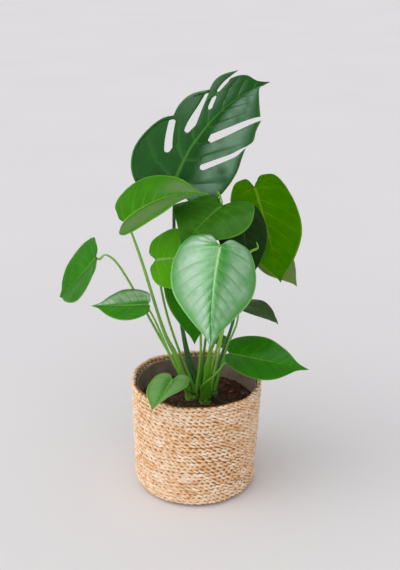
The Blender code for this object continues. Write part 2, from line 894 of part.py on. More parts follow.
def bark_chip(name, place, size, angle):
    """A flat bark chip lying on the soil."""
    half_length = size[0] * MM / 2
    half_breadth = size[1] * MM / 2
    low = SOIL_LEVEL + CLEARANCE
    corners = ((-1, -0.7), (-0.2, -1), (0.9, -0.8), (1, 0.4), (0.3, 1), (-0.8, 0.8))
    vertices = []
    for height, spread in ((low, 1.0), (low + CHIP_THICKNESS, 0.85)):
        for along, across in corners:
            x = along * half_length * spread
            y = across * half_breadth * spread
            turn = radians(angle)
            turned_x = place[0] * MM + x * cos(turn) - y * sin(turn)
            turned_y = place[1] * MM + x * sin(turn) + y * cos(turn)
            vertices.append((turned_x, turned_y, height))
    sides = [(k, (k + 1) % 6, (k + 1) % 6 + 6, k + 6) for k in range(6)]
    faces = [tuple(range(6))[::-1], tuple(range(6, 12)), *sides]
    return add_object(name, vertices, faces, (0.2, 0.08, 0.03), 0.9, smooth=False)


def main():
    for old in list(bpy.data.objects):
        bpy.data.objects.remove(old)
    bpy.context.scene.unit_settings.scale_length = 1
    basket()
    liner()
    soil()
    for crown in CROWNS:
        crown_stub(crown)
    for leaf, stalk in PLANT:
        blade(leaf)
        petiole(leaf, stalk)
    spear()
    for name, place, size, angle in CHIPS:
        bark_chip(name, place, size, angle)


main()
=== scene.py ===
import logging
from collections.abc import Callable
from dataclasses import dataclass
from enum import Enum
from math import cos, pi, radians, sin, tau

import bmesh
import bpy
import numpy as np
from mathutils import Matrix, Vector, noise


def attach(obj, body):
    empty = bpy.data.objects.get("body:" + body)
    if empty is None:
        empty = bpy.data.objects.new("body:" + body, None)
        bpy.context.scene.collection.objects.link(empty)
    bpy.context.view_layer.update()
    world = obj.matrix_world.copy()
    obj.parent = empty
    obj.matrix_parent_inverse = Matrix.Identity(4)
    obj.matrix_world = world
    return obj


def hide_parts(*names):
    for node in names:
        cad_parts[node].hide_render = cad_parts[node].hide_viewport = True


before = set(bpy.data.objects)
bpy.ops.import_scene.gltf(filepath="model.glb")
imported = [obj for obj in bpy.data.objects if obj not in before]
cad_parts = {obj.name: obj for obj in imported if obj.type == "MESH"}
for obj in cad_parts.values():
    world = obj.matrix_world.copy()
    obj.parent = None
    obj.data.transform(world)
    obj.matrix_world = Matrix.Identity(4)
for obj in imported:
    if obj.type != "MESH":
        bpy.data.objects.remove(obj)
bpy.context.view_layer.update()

MM = 0.001
LOG = logging.getLogger("potted_monstera")

SOIL_LEVEL = 0.130
CROWN_TOP = 0.138
RIM_LEVEL = 0.170

Tree = bpy.types.NodeTree
Node = bpy.types.Node
Socket = bpy.types.NodeSocket
Piece = bpy.types.Object
Material = bpy.types.Material
Feed = Node | Socket | float | tuple  # what can drive an input

UV_NAME = "vein_map"
UNIT = (("MAXIMUM", 0.0), ("MINIMUM", 1.0))  # the steps of a chain that keep a value between 0 and 1


class Side(Enum):
    """Which face of a blade a finish is for."""

    UPPER = "upper"
    UNDER = "under"


class Stance(Enum):
    """Whether a petiole meets its blade from below or from above."""

    BELOW = -1
    ABOVE = 1


# ---------------------------------------------------------------- node helpers


def linear(code: str) -> tuple[float, float, float, float]:
    """Turns an sRGB hex colour to linear light.

    Args:
        code: the colour as "#RRGGBB".

    Returns:
        Red, green, blue and 1.
    """
    found = []
    for start in (1, 3, 5):
        value = int(code[start : start + 2], 16) / 255
        found.append(value / 12.92 if value <= 0.04045 else ((value + 0.055) / 1.055) ** 2.4)
    return (*found, 1.0)


def add(tree: Tree, kind: str, settings: dict | None = None, links: dict | None = None) -> Node:
    """Adds a node with its settings, and links or sets its inputs.

    Args:
        tree: the tree that gets the node.
        kind: the node's type name.
        settings: attributes of the node.
        links: input name or number to a node, a socket or a plain value.

    Returns:
        The new node.
    """
    node = tree.nodes.new(kind)
    for name, value in (settings or {}).items():
        setattr(node, name, value)
    for key, value in (links or {}).items():
        socket = node.inputs[key]
        if isinstance(value, Node):
            tree.links.new(next(out for out in value.outputs if out.enabled), socket)
        elif isinstance(value, Socket):
            tree.links.new(value, socket)
        else:
            socket.default_value = value
    return node


def chain(tree: Tree, start: Feed, *steps: tuple) -> Node:
    """Runs a value through scalar maths steps.

    Args:
        tree: the tree that gets the nodes.
        start: the first node, socket or number.
        steps: pairs of an operation and its second operand, or None where it has none.

    Returns:
        The last node.
    """
    found = start
    for operation, operand in steps:
        links = {0: found} if operand is None else {0: found, 1: operand}
        found = add(tree, "ShaderNodeMath", {"operation": operation}, links)
    return found


def vector(tree: Tree, operation: str, first: Feed, second: Feed | None = None) -> Node:
    """Adds a step of vector maths.

    Args:
        tree: the tree that gets the node.
        operation: what it does.
        first: the first operand.
        second: the second operand or the factor of SCALE, or None where it has none.

    Returns:
        The node.
    """
    links = {0: first}
    if second is not None:
        links["Scale" if operation == "SCALE" else 1] = second
    return add(tree, "ShaderNodeVectorMath", {"operation": operation}, links)


def blend(tree: Tree, share: Feed, first: Socket | str, second: Socket | str) -> Socket:
    """Mixes two colours.

    Args:
        tree: the tree that gets the node.
        share: how much of the second there is.
        first: a colour as sRGB hex, or a socket.
        second: a colour as sRGB hex, or a socket.

    Returns:
        The mixed colour's socket.
    """
    first, second = (linear(side) if isinstance(side, str) else side for side in (first, second))
    return add(tree, "ShaderNodeMix", {"data_type": "RGBA"}, {0: share, 6: first, 7: second}).outputs[2]


def speckle(tree: Tree, place: Feed, scale: float, detail: float = 2.0, roughness: float = 0.5) -> Socket:
    """Adds a noise texture.

    Args:
        tree: the tree that gets the node.
        place: the point it is read at.
        scale: features in a metre.
        detail: how many octaves are added.
        roughness: how strong each octave is beside the one before.

    Returns:
        The socket of its value.
    """
    links = {"Vector": place, "Scale": scale, "Detail": detail, "Roughness": roughness}
    return add(tree, "ShaderNodeTexNoise", None, links).outputs[0]


def wander(tree: Tree, length: Feed) -> Socket:
    """Adds a value that wanders from 0 to 1 along a length."""
    return add(tree, "ShaderNodeTexNoise", {"noise_dimensions": "1D"}, {"W": length, "Scale": 1.0}).outputs[0]


def bump(tree: Tree, height: Feed, strength: float, distance: float) -> Node:
    """Adds fine relief to a surface.

    Args:
        tree: the tree that gets the node.
        height: what drives it.
        strength: how much of it shows.
        distance: its depth in metres.

    Returns:
        The bump node.
    """
    return add(tree, "ShaderNodeBump", None, {"Height": height, "Strength": strength, "Distance": distance})


def object_place(tree: Tree) -> Socket:
    """Gives the point being shaded, in metres."""
    return add(tree, "ShaderNodeTexCoord").outputs["Object"]


def ramp(tree: Tree, value: Feed, stops: tuple) -> Node:
    """Adds a colour ramp.

    Args:
        tree: the tree that gets the node.
        value: what drives it.
        stops: pairs of a place and a colour as sRGB hex.

    Returns:
        The ramp node.
    """
    node = add(tree, "ShaderNodeValToRGB", None, {"Fac": value})
    stop_list = node.color_ramp.elements
    while len(stop_list) < len(stops):
        stop_list.new(0.5)
    for element, (place, colour) in zip(stop_list, stops):
        element.position = place
        element.color = linear(colour)
    return node


def blank_material(name: str) -> tuple[Material, Tree]:
    """Makes a material with only its output.

    Args:
        name: what it is called.

    Returns:
        The material and its tree.
    """
    made = bpy.data.materials.new(name)
    made.use_nodes = True
    made.node_tree.nodes.clear()
    add(made.node_tree, "ShaderNodeOutputMaterial")
    return made, made.node_tree


def surface(tree: Tree, shader: Node) -> None:
    """Links a shader to the material's output."""
    tree.links.new(shader.outputs[0], tree.nodes["Material Output"].inputs["Surface"])


def skin(tree: Tree, **values) -> Node:
    """Adds a principled shader.

    Args:
        tree: the tree that gets the node.
        values: its inputs, with underscores for spaces.

    Returns:
        The shader node.
    """
    links = {name.replace("_", " "): value for name, value in values.items()}
    return add(tree, "ShaderNodeBsdfPrincipled", None, links)


def streak_map(tree: Tree, lengthwise: float, crosswise: float) -> Node:
    """Gives a point that is stretched along a swept piece.

    Args:
        tree: the tree that gets the nodes.
        lengthwise: features in a metre of its length.
        crosswise: features in a radius of its section.

    Returns:
        The node of the point.
    """
    along = add(tree, "ShaderNodeAttribute", {"attribute_name": "along"}).outputs["Fac"]
    around = add(tree, "ShaderNodeAttribute", {"attribute_name": "around"}).outputs["Vector"]
    turned = add(tree, "ShaderNodeSeparateXYZ", None, {0: around})
    across = [chain(tree, turned.outputs[k], ("MULTIPLY", crosswise)) for k in (0, 1)]
    values = {0: chain(tree, along, ("MULTIPLY", lengthwise)), 1: across[0], 2: across[1]}
    return add(tree, "ShaderNodeCombineXYZ", None, values)


# ---------------------------------------------------------------- finishes


@dataclass(frozen=True)
class LeafFinish:
    """Living monstera blade: a waxy skin over green tissue, with sunken lateral veins, a pale midrib and
    patches of painted sheen in its colour.
    """

    name: str
    face: str = "#2E6B1E"
    deep: str = "#1D4B16"
    vein: str = "#6FA04A"
    # The colour and share of a painted sheen: a pale reflection of the room's light mixed into the base
    # colour.
    painted_sheen: str = "#A9CBB4"
    painted_sheen_share: float = 0.0
    glow: str = "#5FAE0C"
    glow_share: float = 0.22
    roughness: float = 0.34
    vein_count: float = 8.0
    shine: float = 0.1
    rib: float = 0.04
    # Which half of the blade the painted sheen keeps to, and from where along the midrib it starts.
    painted_sheen_half: float = 0.0
    painted_sheen_from: float = -1.0
    side: Side = Side.UPPER

    def painted_sheen_mask(self, tree: Tree, vein_places: tuple, main: Node, place: Socket) -> Node:
        """Says where the painted sheen lies: on raised tissue, and not along the midrib or the margin.

        Args:
            tree: the tree that gets the nodes.
            vein_places: place along the midrib, place across, and share of the way to the margin.
            main: how much each point is on a lateral vein.
            place: the point being shaded.

        Returns:
            The share of painted sheen.
        """
        along, across, away = vein_places
        # Patches of painted sheen: from a place along the midrib onwards, or else set by noise.
        if self.painted_sheen_from > 0:
            sheen_patches = chain(tree, along, ("SUBTRACT", self.painted_sheen_from), ("MULTIPLY", 4.0), *UNIT)
        else:
            sheen_patches = chain(tree, speckle(tree, place, 48.0), ("SUBTRACT", 0.12), ("MULTIPLY", 2.3), *UNIT)
        if self.painted_sheen_half:
            half = chain(tree, across, ("MULTIPLY", self.painted_sheen_half * 4), *UNIT)
            sheen_patches = chain(tree, sheen_patches, ("MAXIMUM" if self.painted_sheen_from > 0 else "MULTIPLY", half))
        raised = chain(tree, main, ("MULTIPLY", -1.6), ("ADD", 1.0), ("MAXIMUM", 0.0))
        inner = chain(tree, away, ("SUBTRACT", 0.16), ("MULTIPLY", 4.0), *UNIT)
        outer = chain(tree, away, ("MULTIPLY", -5.0), ("ADD", 4.9), *UNIT)
        products = (("MULTIPLY", inner), ("MULTIPLY", outer), ("MULTIPLY", sheen_patches))
        return chain(tree, raised, *products, ("MULTIPLY", self.painted_sheen_share))

    def build(self) -> Material:
        """Builds the material.

        Returns:
            The finished material.
        """
        made, tree = blank_material(self.name)
        vein_map = add(tree, "ShaderNodeUVMap", {"uv_map": UV_NAME})
        split = add(tree, "ShaderNodeSeparateXYZ", None, {0: vein_map})
        along, across = split.outputs[0], split.outputs[1]
        away = chain(tree, across, ("ABSOLUTE", None))
        place = object_place(tree)
        # Tissue grows unevenly, so the green drifts over some 15 mm and again over 3 mm.
        drift = speckle(tree, place, 65.0, 3.0)
        fleck = chain(tree, speckle(tree, place, 330.0), ("MULTIPLY", 0.5))
        # Main lateral veins are rows of the blade: a band each, thinner towards the margin.
        row = chain(tree, along, ("MULTIPLY", self.vein_count), ("PINGPONG", 0.5))
        thinned = chain(tree, away, ("MULTIPLY", -1.0), ("ADD", 1.05))
        main = chain(tree, row, ("MULTIPLY", -9.0), ("ADD", 1.0), ("MAXIMUM", 0.0), ("MULTIPLY", thinned))
        fine = chain(tree, along, ("MULTIPLY", self.vein_count * 7), ("ADD", fleck), ("PINGPONG", 0.5))
        fine = chain(tree, fine, ("MULTIPLY", 2.0))
        # The midrib is a few millimetres wide at the junction and closes to a line at the tip.
        rib_width = chain(tree, along, ("MULTIPLY", -0.8 * self.rib), ("ADD", self.rib))
        rib = chain(tree, away, ("DIVIDE", rib_width), ("MULTIPLY", -1.0), ("ADD", 1.6), *UNIT)
        colour = blend(tree, chain(tree, drift, ("SUBTRACT", 0.3), ("MULTIPLY", 2.0)), self.face, self.deep)
        vein_share = 0.42 if self.side is Side.UPPER else 0.7
        colour = blend(tree, chain(tree, main, ("MULTIPLY", vein_share)), colour, self.vein)
        colour = blend(tree, chain(tree, fine, ("MULTIPLY", 0.22)), colour, self.deep)
        # Painted sheen: a pale reflection of the room's light, mixed into the base colour.
        if self.painted_sheen_share:
            colour = blend(tree, self.painted_sheen_mask(tree, (along, across, away), main, place), colour, self.painted_sheen)
        colour = blend(tree, chain(tree, rib, ("MULTIPLY", 0.85)), colour, self.vein)
        # The margin is a paler line about 1.5 mm wide: the edge's own paler tissue with a painted highlight
        # of light showing through it.
        limits = (("MAXIMUM", 0.0), ("MINIMUM", 0.7))
        margin = chain(tree, away, ("SUBTRACT", 0.958), ("MULTIPLY", 30.0), *limits)
        colour = blend(tree, margin, colour, self.vein)
        height = chain(tree, fine, ("MULTIPLY", -0.25), ("ADD", fleck), ("SUBTRACT", main))
        relief = bump(tree, height, 0.35, 0.5 * MM)
        rough = chain(tree, fleck, ("MULTIPLY", 0.32), ("ADD", self.roughness - 0.08))
        shine = {"Roughness": rough, "IOR": 1.48, "Specular_IOR_Level": self.shine}
        coat = skin(tree, Base_Color=colour, Normal=relief, **shine)
        light = blend(tree, chain(tree, main, ("MULTIPLY", 0.4)), self.glow, self.vein)
        through = add(tree, "ShaderNodeBsdfTranslucent", None, {"Color": light, "Normal": relief})
        surface(tree, add(tree, "ShaderNodeMixShader", None, {0: self.glow_share, 1: coat, 2: through}))
        return made


@dataclass(frozen=True)
class StalkFinish:
    """Living petiole: smooth, slightly fleshy skin with fine lengthwise streaks, paler in the sheath."""

    name: str
    body: str = "#9CCB62"
    streak: str = "#72A844"
    sheath: str = "#76B62E"
    roughness: float = 0.36

    def build(self) -> Material:
        """Builds the material.

        Returns:
            The finished material.
        """
        made, tree = blank_material(self.name)
        # Streaks about 1 mm apart round the stalk and 40 mm long.
        lines = speckle(tree, streak_map(tree, 3.0, 5.0), 1.0, 3.0)
        along = add(tree, "ShaderNodeAttribute", {"attribute_name": "along"}).outputs["Fac"]
        low = chain(tree, along, ("MULTIPLY", -2.6), ("ADD", 1.1), *UNIT)
        share = chain(tree, lines, ("SUBTRACT", 0.35), ("MULTIPLY", 2.2), ("MAXIMUM", 0.0), ("MINIMUM", 0.7))
        coat = skin(
            tree,
            Base_Color=blend(tree, share, blend(tree, low, self.body, self.sheath), self.streak),
            Roughness=self.roughness,
            IOR=1.45,
            Subsurface_Weight=0.12,
            Subsurface_Radius=(0.3, 0.6, 0.1),
            Subsurface_Scale=3 * MM,
            Normal=bump(tree, lines, 0.25, 0.4 * MM),
        )
        surface(tree, coat)
        return made


@dataclass(frozen=True)
class CordFinish:
    """Natural seagrass cord of dried blades: straw to tan, bleached in places, with painted shade in the
    crevices between its blades.
    """

    name: str
    straw: str = "#F0CCA4"
    tan: str = "#DCA873"
    bleached: str = "#FBEEDD"
    # The darkest colour is painted shade of the crevices between blades of grass, placed where the noise is
    # lowest.
    gap: str = "#B07B48"

    def build(self) -> Material:
        """Builds the material.

        Returns:
            The finished material.
        """
        made, tree = blank_material(self.name)
        # Blades of grass lie along each ply: streaks 20 mm long and about 1 mm wide.
        blades = speckle(tree, streak_map(tree, 50.0, 2.2), 1.0, 4.0, 0.6)
        # A ply takes on a new blade every few centimetres, so its tone steps.
        flat = vector(tree, "MULTIPLY", object_place(tree), (1.0, 1.0, 2.6))
        tone = chain(tree, speckle(tree, flat, 105.0), ("MULTIPLY", 0.8))
        patch = chain(tree, speckle(tree, flat, 30.0), ("MULTIPLY", 0.35))
        mixed = chain(tree, blades, ("MULTIPLY", 0.45), ("ADD", tone), ("ADD", patch), ("MULTIPLY", 0.62))
        # From painted shade at the darkest, through tan and straw, to bleached.
        stops = ((0.3, self.gap), (0.4, self.tan), (0.49, self.straw), (0.62, self.bleached))
        coat = skin(
            tree,
            Base_Color=ramp(tree, mixed, stops),
            Roughness=0.62,
            Specular_IOR_Level=0.35,
            Sheen_Weight=0.12,
            Sheen_Roughness=0.5,
            Normal=bump(tree, blades, 0.6, 0.7 * MM),
        )
        surface(tree, coat)
        return made


@dataclass(frozen=True)
class EarthFinish:
    """Anything rough and mottled: damp potting soil, bark, perlite, the basket's jute core (dark with painted
    shade), crown cork.
    """

    name: str
    colours: tuple[str, str, str]
    grain_mm: float
    roughness: float = 0.92
    relief_mm: float = 0.4

    def build(self) -> Material:
        """Builds the material.

        Returns:
            The finished material.
        """
        made, tree = blank_material(self.name)
        place = object_place(tree)
        grain = speckle(tree, place, 1000 / self.grain_mm / 2, 4.0, 0.65)
        broad = chain(tree, speckle(tree, place, 1000 / self.grain_mm / 9), ("MULTIPLY", 0.4))
        value = chain(tree, grain, ("MULTIPLY", 0.6), ("ADD", broad))
        coat = skin(
            tree,
            Base_Color=ramp(tree, value, tuple(zip((0.38, 0.5, 0.62), self.colours))),
            Roughness=self.roughness,
            Specular_IOR_Level=0.25,
            Normal=bump(tree, grain, 0.8, self.relief_mm * MM),
        )
        surface(tree, coat)
        return made


@dataclass(frozen=True)
class PlasticFinish:
    """Thin thermoformed nursery-pot plastic: grey-brown, satin, dusted and water-marked."""

    name: str
    colour: str = "#8C796D"
    dust: str = "#AC988B"
    roughness: float = 0.42

    def build(self) -> Material:
        """Builds the material.

        Returns:
            The finished material.
        """
        made, tree = blank_material(self.name)
        marks = speckle(tree, object_place(tree), 55.0, 5.0)
        share = chain(tree, marks, ("SUBTRACT", 0.42), ("MULTIPLY", 3.0), ("MAXIMUM", 0.0), ("MINIMUM", 0.6))
        rough = chain(tree, marks, ("MULTIPLY", 0.3), ("ADD", self.roughness - 0.15))
        colour = blend(tree, share, self.colour, self.dust)
        surface(tree, skin(tree, Base_Color=colour, Roughness=rough, Normal=bump(tree, marks, 0.2, 0.6 * MM)))
        return made


# ---------------------------------------------------------------- meshes


def link_object(name: str, data: bpy.types.ID) -> Piece:
    """Puts mesh, curve, light or camera data in the scene as an object.

    Args:
        name: the object's name.
        data: what it shows.

    Returns:
        The object, at the origin.
    """
    made = bpy.data.objects.new(name, data)
    bpy.context.scene.collection.objects.link(made)
    return made


def new_object(
    name: str, vertices: list | np.ndarray, faces: list, materials: list, smooth: bool = True
) -> Piece:
    """Makes a mesh object at the origin.

    Args:
        name: the piece's name.
        vertices: points in metres.
        faces: tuples of point numbers, facing outwards.
        materials: its materials, in slot order.
        smooth: whether its faces are shaded smooth.

    Returns:
        The object, linked to the scene.
    """
    mesh = bpy.data.meshes.new(name)
    mesh.from_pydata([tuple(map(float, v)) for v in vertices], [], faces)
    mesh.polygons.foreach_set("use_smooth", [smooth] * len(mesh.polygons))
    for finish in materials:
        mesh.materials.append(finish)
    return link_object(name, mesh)


def face_outwards(piece: Piece) -> None:
    """Merges doubles and turns the faces of a closed mesh outwards.

    Args:
        piece: the mesh object.
    """
    shaped = bmesh.new()
    shaped.from_mesh(piece.data)
    bmesh.ops.remove_doubles(shaped, verts=shaped.verts, dist=1e-7)
    bmesh.ops.recalc_face_normals(shaped, faces=shaped.faces)
    shaped.to_mesh(piece.data)
    shaped.free()


def skin_rings(rings: list) -> list:
    """Faces between each ring of points and the next; a ring may be one point over and over.

    Args:
        rings: lists of point numbers, all as long.

    Returns:
        The faces.
    """
    faces = []
    for low, high in zip(rings, rings[1:]):
        for step in range(len(low)):
            after = (step + 1) % len(low)
            faces.append(tuple(dict.fromkeys((low[step], low[after], high[after], high[step]))))
    return faces


def lathe(name: str, profile: list, segments: int, materials: list, wobble: Callable) -> Piece:
    """Turns a profile round the vertical axis into a closed solid.

    Args:
        name: the piece's name.
        profile: radius and height pairs from the axis at the bottom to the axis at the top.
        segments: how many sides.
        materials: its materials.
        wobble: function of x, y, z that gives the moved point.

    Returns:
        The object.
    """
    vertices: list = []
    rings: list = []
    for radius, height in profile:
        if radius == 0:
            rings.append([len(vertices)] * segments)
            vertices.append((0.0, 0.0, height))
            continue
        rings.append(list(range(len(vertices), len(vertices) + segments)))
        for step in range(segments):
            turn = tau * step / segments
            vertices.append((radius * cos(turn), radius * sin(turn), height))
    made = new_object(name, [wobble(*point) for point in vertices], skin_rings(rings), materials)
    face_outwards(made)
    return made


def spline(points: list | tuple, steps: int) -> np.ndarray:
    """Points evenly spaced along a smooth curve through the given ones.

    Args:
        points: at least two points.
        steps: how many to return.

    Returns:
        The points, one a row.
    """
    points = np.array(points, float)
    lengths = np.linalg.norm(np.diff(points, axis=0), axis=1)
    knots = np.concatenate([[0], np.cumsum(lengths)])
    padded = np.vstack([2 * points[0] - points[1], points, 2 * points[-1] - points[-2]])
    found = []
    for place in np.linspace(0, knots[-1], steps):
        i = min(int(np.searchsorted(knots, place, side="right")) - 1, len(points) - 2)
        s = (place - knots[i]) / (knots[i + 1] - knots[i])
        a, b, c, d = padded[i : i + 4]
        square = (2 * a - 5 * b + 4 * c - d) * s**2
        cube = (3 * b - a - 3 * c + d) * s**3
        found.append(0.5 * (2 * b + (c - a) * s + square + cube))
    return np.array(found)


def curve_object(name: str, points: np.ndarray, radii: np.ndarray) -> Piece:
    """A poly curve for a tree to sweep along.

    Args:
        name: the object's name.
        points: points in metres.
        radii: radius at each point, metres.

    Returns:
        The curve object.
    """
    data = bpy.data.curves.new(name, "CURVE")
    data.dimensions = "3D"
    data.twist_mode = "Z_UP"
    line = data.splines.new("POLY")
    line.points.add(len(points) - 1)
    line.points.foreach_set("co", np.column_stack([points, np.ones(len(points))]).ravel())
    line.points.foreach_set("radius", np.asarray(radii, float))
    return link_object(name, data)


# ---------------------------------------------------------------- geometry trees


def new_tree(name: str, *inputs: tuple) -> tuple:
    """Starts a geometry tree with named inputs.

    Args:
        name: what the tree is called.
        inputs: triples of a name, a socket type's ending and a default value.

    Returns:
        The tree, the sockets of its input node by name, and its output node.
    """
    tree = bpy.data.node_groups.new(name, "GeometryNodeTree")
    tree.interface.new_socket("Geometry", in_out="INPUT", socket_type="NodeSocketGeometry")
    tree.interface.new_socket("Geometry", in_out="OUTPUT", socket_type="NodeSocketGeometry")
    for label, kind, value in (*inputs, ("Finish", "Material", None)):
        socket = tree.interface.new_socket(label, in_out="INPUT", socket_type=f"NodeSocket{kind}")
        if value is not None:
            socket.default_value = value
    return tree, add(tree, "NodeGroupInput").outputs, add(tree, "NodeGroupOutput")


def close_tree(tree: Tree, shape: Feed, finish: Socket, output: Node) -> None:
    """Ends a geometry tree in Realize Instances and Set Material.

    Args:
        tree: the tree.
        shape: the geometry to finish.
        finish: the material input.
        output: the group output node.
    """
    real = add(tree, "GeometryNodeRealizeInstances", None, {0: shape})
    dressed = add(tree, "GeometryNodeSetMaterial", None, {"Geometry": real, "Material": finish})
    tree.links.new(dressed.outputs[0], output.inputs[0])


def store(tree: Tree, shape: Feed, name: str, value: Feed, kind: str = "FLOAT") -> Node:
    """Keeps a value on the points of a shape.

    Args:
        tree: the tree.
        shape: the geometry.
        name: what the value is called.
        value: what is kept.
        kind: its data type.

    Returns:
        The node of the shape with its value.
    """
    links = {"Geometry": shape, "Name": name, "Value": value}
    return add(tree, "GeometryNodeStoreNamedAttribute", {"data_type": kind, "domain": "POINT"}, links)


def grow(host: Piece, tree: Tree, values: dict, name: str) -> Piece:
    """Runs a geometry tree on an object and keeps the result as a plain mesh.

    Args:
        host: the object the tree reads, which is removed.
        tree: the tree.
        values: input name to value.
        name: the new piece's name.

    Returns:
        The plain mesh object.
    """
    modifier = host.modifiers.new(tree.name, "NODES")
    modifier.node_group = tree
    for item in tree.interface.items_tree:
        if item.in_out == "INPUT" and item.name in values:
            modifier[item.identifier] = values[item.name]
    bpy.context.view_layer.update()
    graph = bpy.context.evaluated_depsgraph_get()
    mesh = bpy.data.meshes.new_from_object(host.evaluated_get(graph), depsgraph=graph)
    host.modifiers.remove(modifier)
    mesh.name = name
    LOG.debug("%s grown from %s", name, host.name)
    bpy.data.objects.remove(host)
    return link_object(name, mesh)


def rope_tree() -> Tree:
    """A cord of twisted plies along a curve.

    Returns:
        The tree.
    """
    tree, given, output = new_tree(
        "rope_along_path",
        ("Plies", "Int", 2),
        ("Lay Length", "Float", 17 * MM),
        ("Ply Radius", "Float", 1.6 * MM),
        ("Step", "Float", 2.2 * MM),
        ("Sides", "Int", 6),
    )
    links = {"Curve": given[0], "Length": given["Step"]}
    path = add(tree, "GeometryNodeResampleCurve", {"mode": "LENGTH"}, links)
    length = add(tree, "GeometryNodeSplineParameter").outputs["Length"]
    links = {"Geometry": store(tree, path, "along", length), "Amount": given["Plies"]}
    copies = add(tree, "GeometryNodeDuplicateElements", {"domain": "SPLINE"}, links)
    own_phase = chain(tree, copies.outputs["Duplicate Index"], ("DIVIDE", given["Plies"]), ("MULTIPLY", tau))
    # The twist tightens and slackens by a fifth along the cord.
    slack = wander(tree, chain(tree, length, ("MULTIPLY", 14.0)))
    eased = chain(tree, slack, ("MULTIPLY", 9.0), ("ADD", own_phase))
    phase = chain(tree, length, ("DIVIDE", given["Lay Length"]), ("MULTIPLY", tau), ("ADD", eased))
    normal = add(tree, "GeometryNodeInputNormal")
    binormal = vector(tree, "CROSS_PRODUCT", add(tree, "GeometryNodeInputTangent"), normal)
    parts = []
    for direction, wave in ((normal, "COSINE"), (binormal, "SINE")):
        reach = chain(tree, phase, (wave, None), ("MULTIPLY", given["Ply Radius"]))
        parts.append(vector(tree, "SCALE", direction, reach))
    links = {"Geometry": copies, "Offset": vector(tree, "ADD", *parts)}
    twisted = add(tree, "GeometryNodeSetPosition", None, links)
    # Plies swell and thin by a fifth as blades of grass are fed in.
    swell = wander(tree, chain(tree, length, ("MULTIPLY", 60.0), ("ADD", own_phase)))
    radius = chain(tree, swell, ("MULTIPLY", 0.5), ("ADD", 0.82))
    sized = add(tree, "GeometryNodeSetCurveRadius", None, {"Curve": twisted, "Radius": radius})
    links = {"Resolution": given["Sides"], "Radius": chain(tree, given["Ply Radius"], ("MULTIPLY", 1.04))}
    circle = add(tree, "GeometryNodeCurvePrimitiveCircle", {"mode": "RADIUS"}, links)
    direction = vector(tree, "NORMALIZE", add(tree, "GeometryNodeInputPosition"))
    profile = store(tree, circle, "around", direction, "FLOAT_VECTOR")
    links = {"Curve": sized, "Profile Curve": profile, "Scale": add(tree, "GeometryNodeInputRadius")}
    swept = add(tree, "GeometryNodeCurveToMesh", None, {**links, "Fill Caps": True})
    smooth = add(tree, "GeometryNodeSetShadeSmooth", None, {"Geometry": swept})
    close_tree(tree, smooth, given["Finish"], output)
    return tree


def stalk_tree() -> Tree:
    """A petiole swept along a curve, channelled and winged where it sheathes its neighbours.

    Returns:
        The tree.
    """
    tree, given, output = new_tree(
        "stalk_along_path",
        ("Sides", "Int", 16),
        ("Sheath Length", "Float", 60 * MM),
        ("Wing", "Float", 0.35),
        ("Channel", "Float", 0.5),
    )
    girth = add(tree, "GeometryNodeInputRadius")
    named = given[0]
    for label, kind, value in (
        ("along", "FLOAT", add(tree, "GeometryNodeSplineParameter").outputs["Length"]),
        ("girth", "FLOAT", girth),
        ("level", "FLOAT_VECTOR", add(tree, "GeometryNodeInputNormal")),
        ("ahead", "FLOAT_VECTOR", add(tree, "GeometryNodeInputTangent")),
    ):
        named = store(tree, named, label, value, kind)
    links = {"Resolution": given["Sides"], "Radius": 1.0}
    circle = add(tree, "GeometryNodeCurvePrimitiveCircle", {"mode": "RADIUS"}, links)
    profile = store(tree, circle, "around", add(tree, "GeometryNodeInputPosition"), "FLOAT_VECTOR")
    links = {"Curve": named, "Profile Curve": profile, "Scale": girth, "Fill Caps": True}
    swept = add(tree, "GeometryNodeCurveToMesh", None, links)
    read = {}
    for label in ("along", "girth", "level", "ahead", "around"):
        kind = "FLOAT" if label in ("along", "girth") else "FLOAT_VECTOR"
        read[label] = add(tree, "GeometryNodeInputNamedAttribute", {"data_type": kind}, {"Name": label})
    turned = add(tree, "ShaderNodeSeparateXYZ", None, {0: read["around"]})
    inward = vector(tree, "CROSS_PRODUCT", read["ahead"], read["level"])
    left = (("DIVIDE", given["Sheath Length"]), ("MULTIPLY", -1.0), ("ADD", 1.0), ("MAXIMUM", 0.0))
    fade = chain(tree, read["along"], *left, ("POWER", 0.7))
    sized = ("MULTIPLY", read["girth"])
    wing = chain(tree, turned.outputs[0], sized, ("MULTIPLY", given["Wing"]), ("MULTIPLY", fade))
    notch = chain(tree, turned.outputs[1], ("SUBTRACT", 0.55), ("MULTIPLY", 2.2), ("MAXIMUM", 0.0), sized)
    depth = chain(tree, fade, ("ADD", 0.12))
    notch = chain(tree, notch, ("MULTIPLY", given["Channel"]), ("MULTIPLY", depth), ("MULTIPLY", -1.0))
    aside, sunk = vector(tree, "SCALE", read["level"], wing), vector(tree, "SCALE", inward, notch)
    offset = vector(tree, "ADD", aside, sunk)
    shaped = add(tree, "GeometryNodeSetPosition", None, {"Geometry": swept, "Offset": offset})
    smooth = add(tree, "GeometryNodeSetShadeSmooth", None, {"Geometry": shaped})
    close_tree(tree, smooth, given["Finish"], output)
    return tree


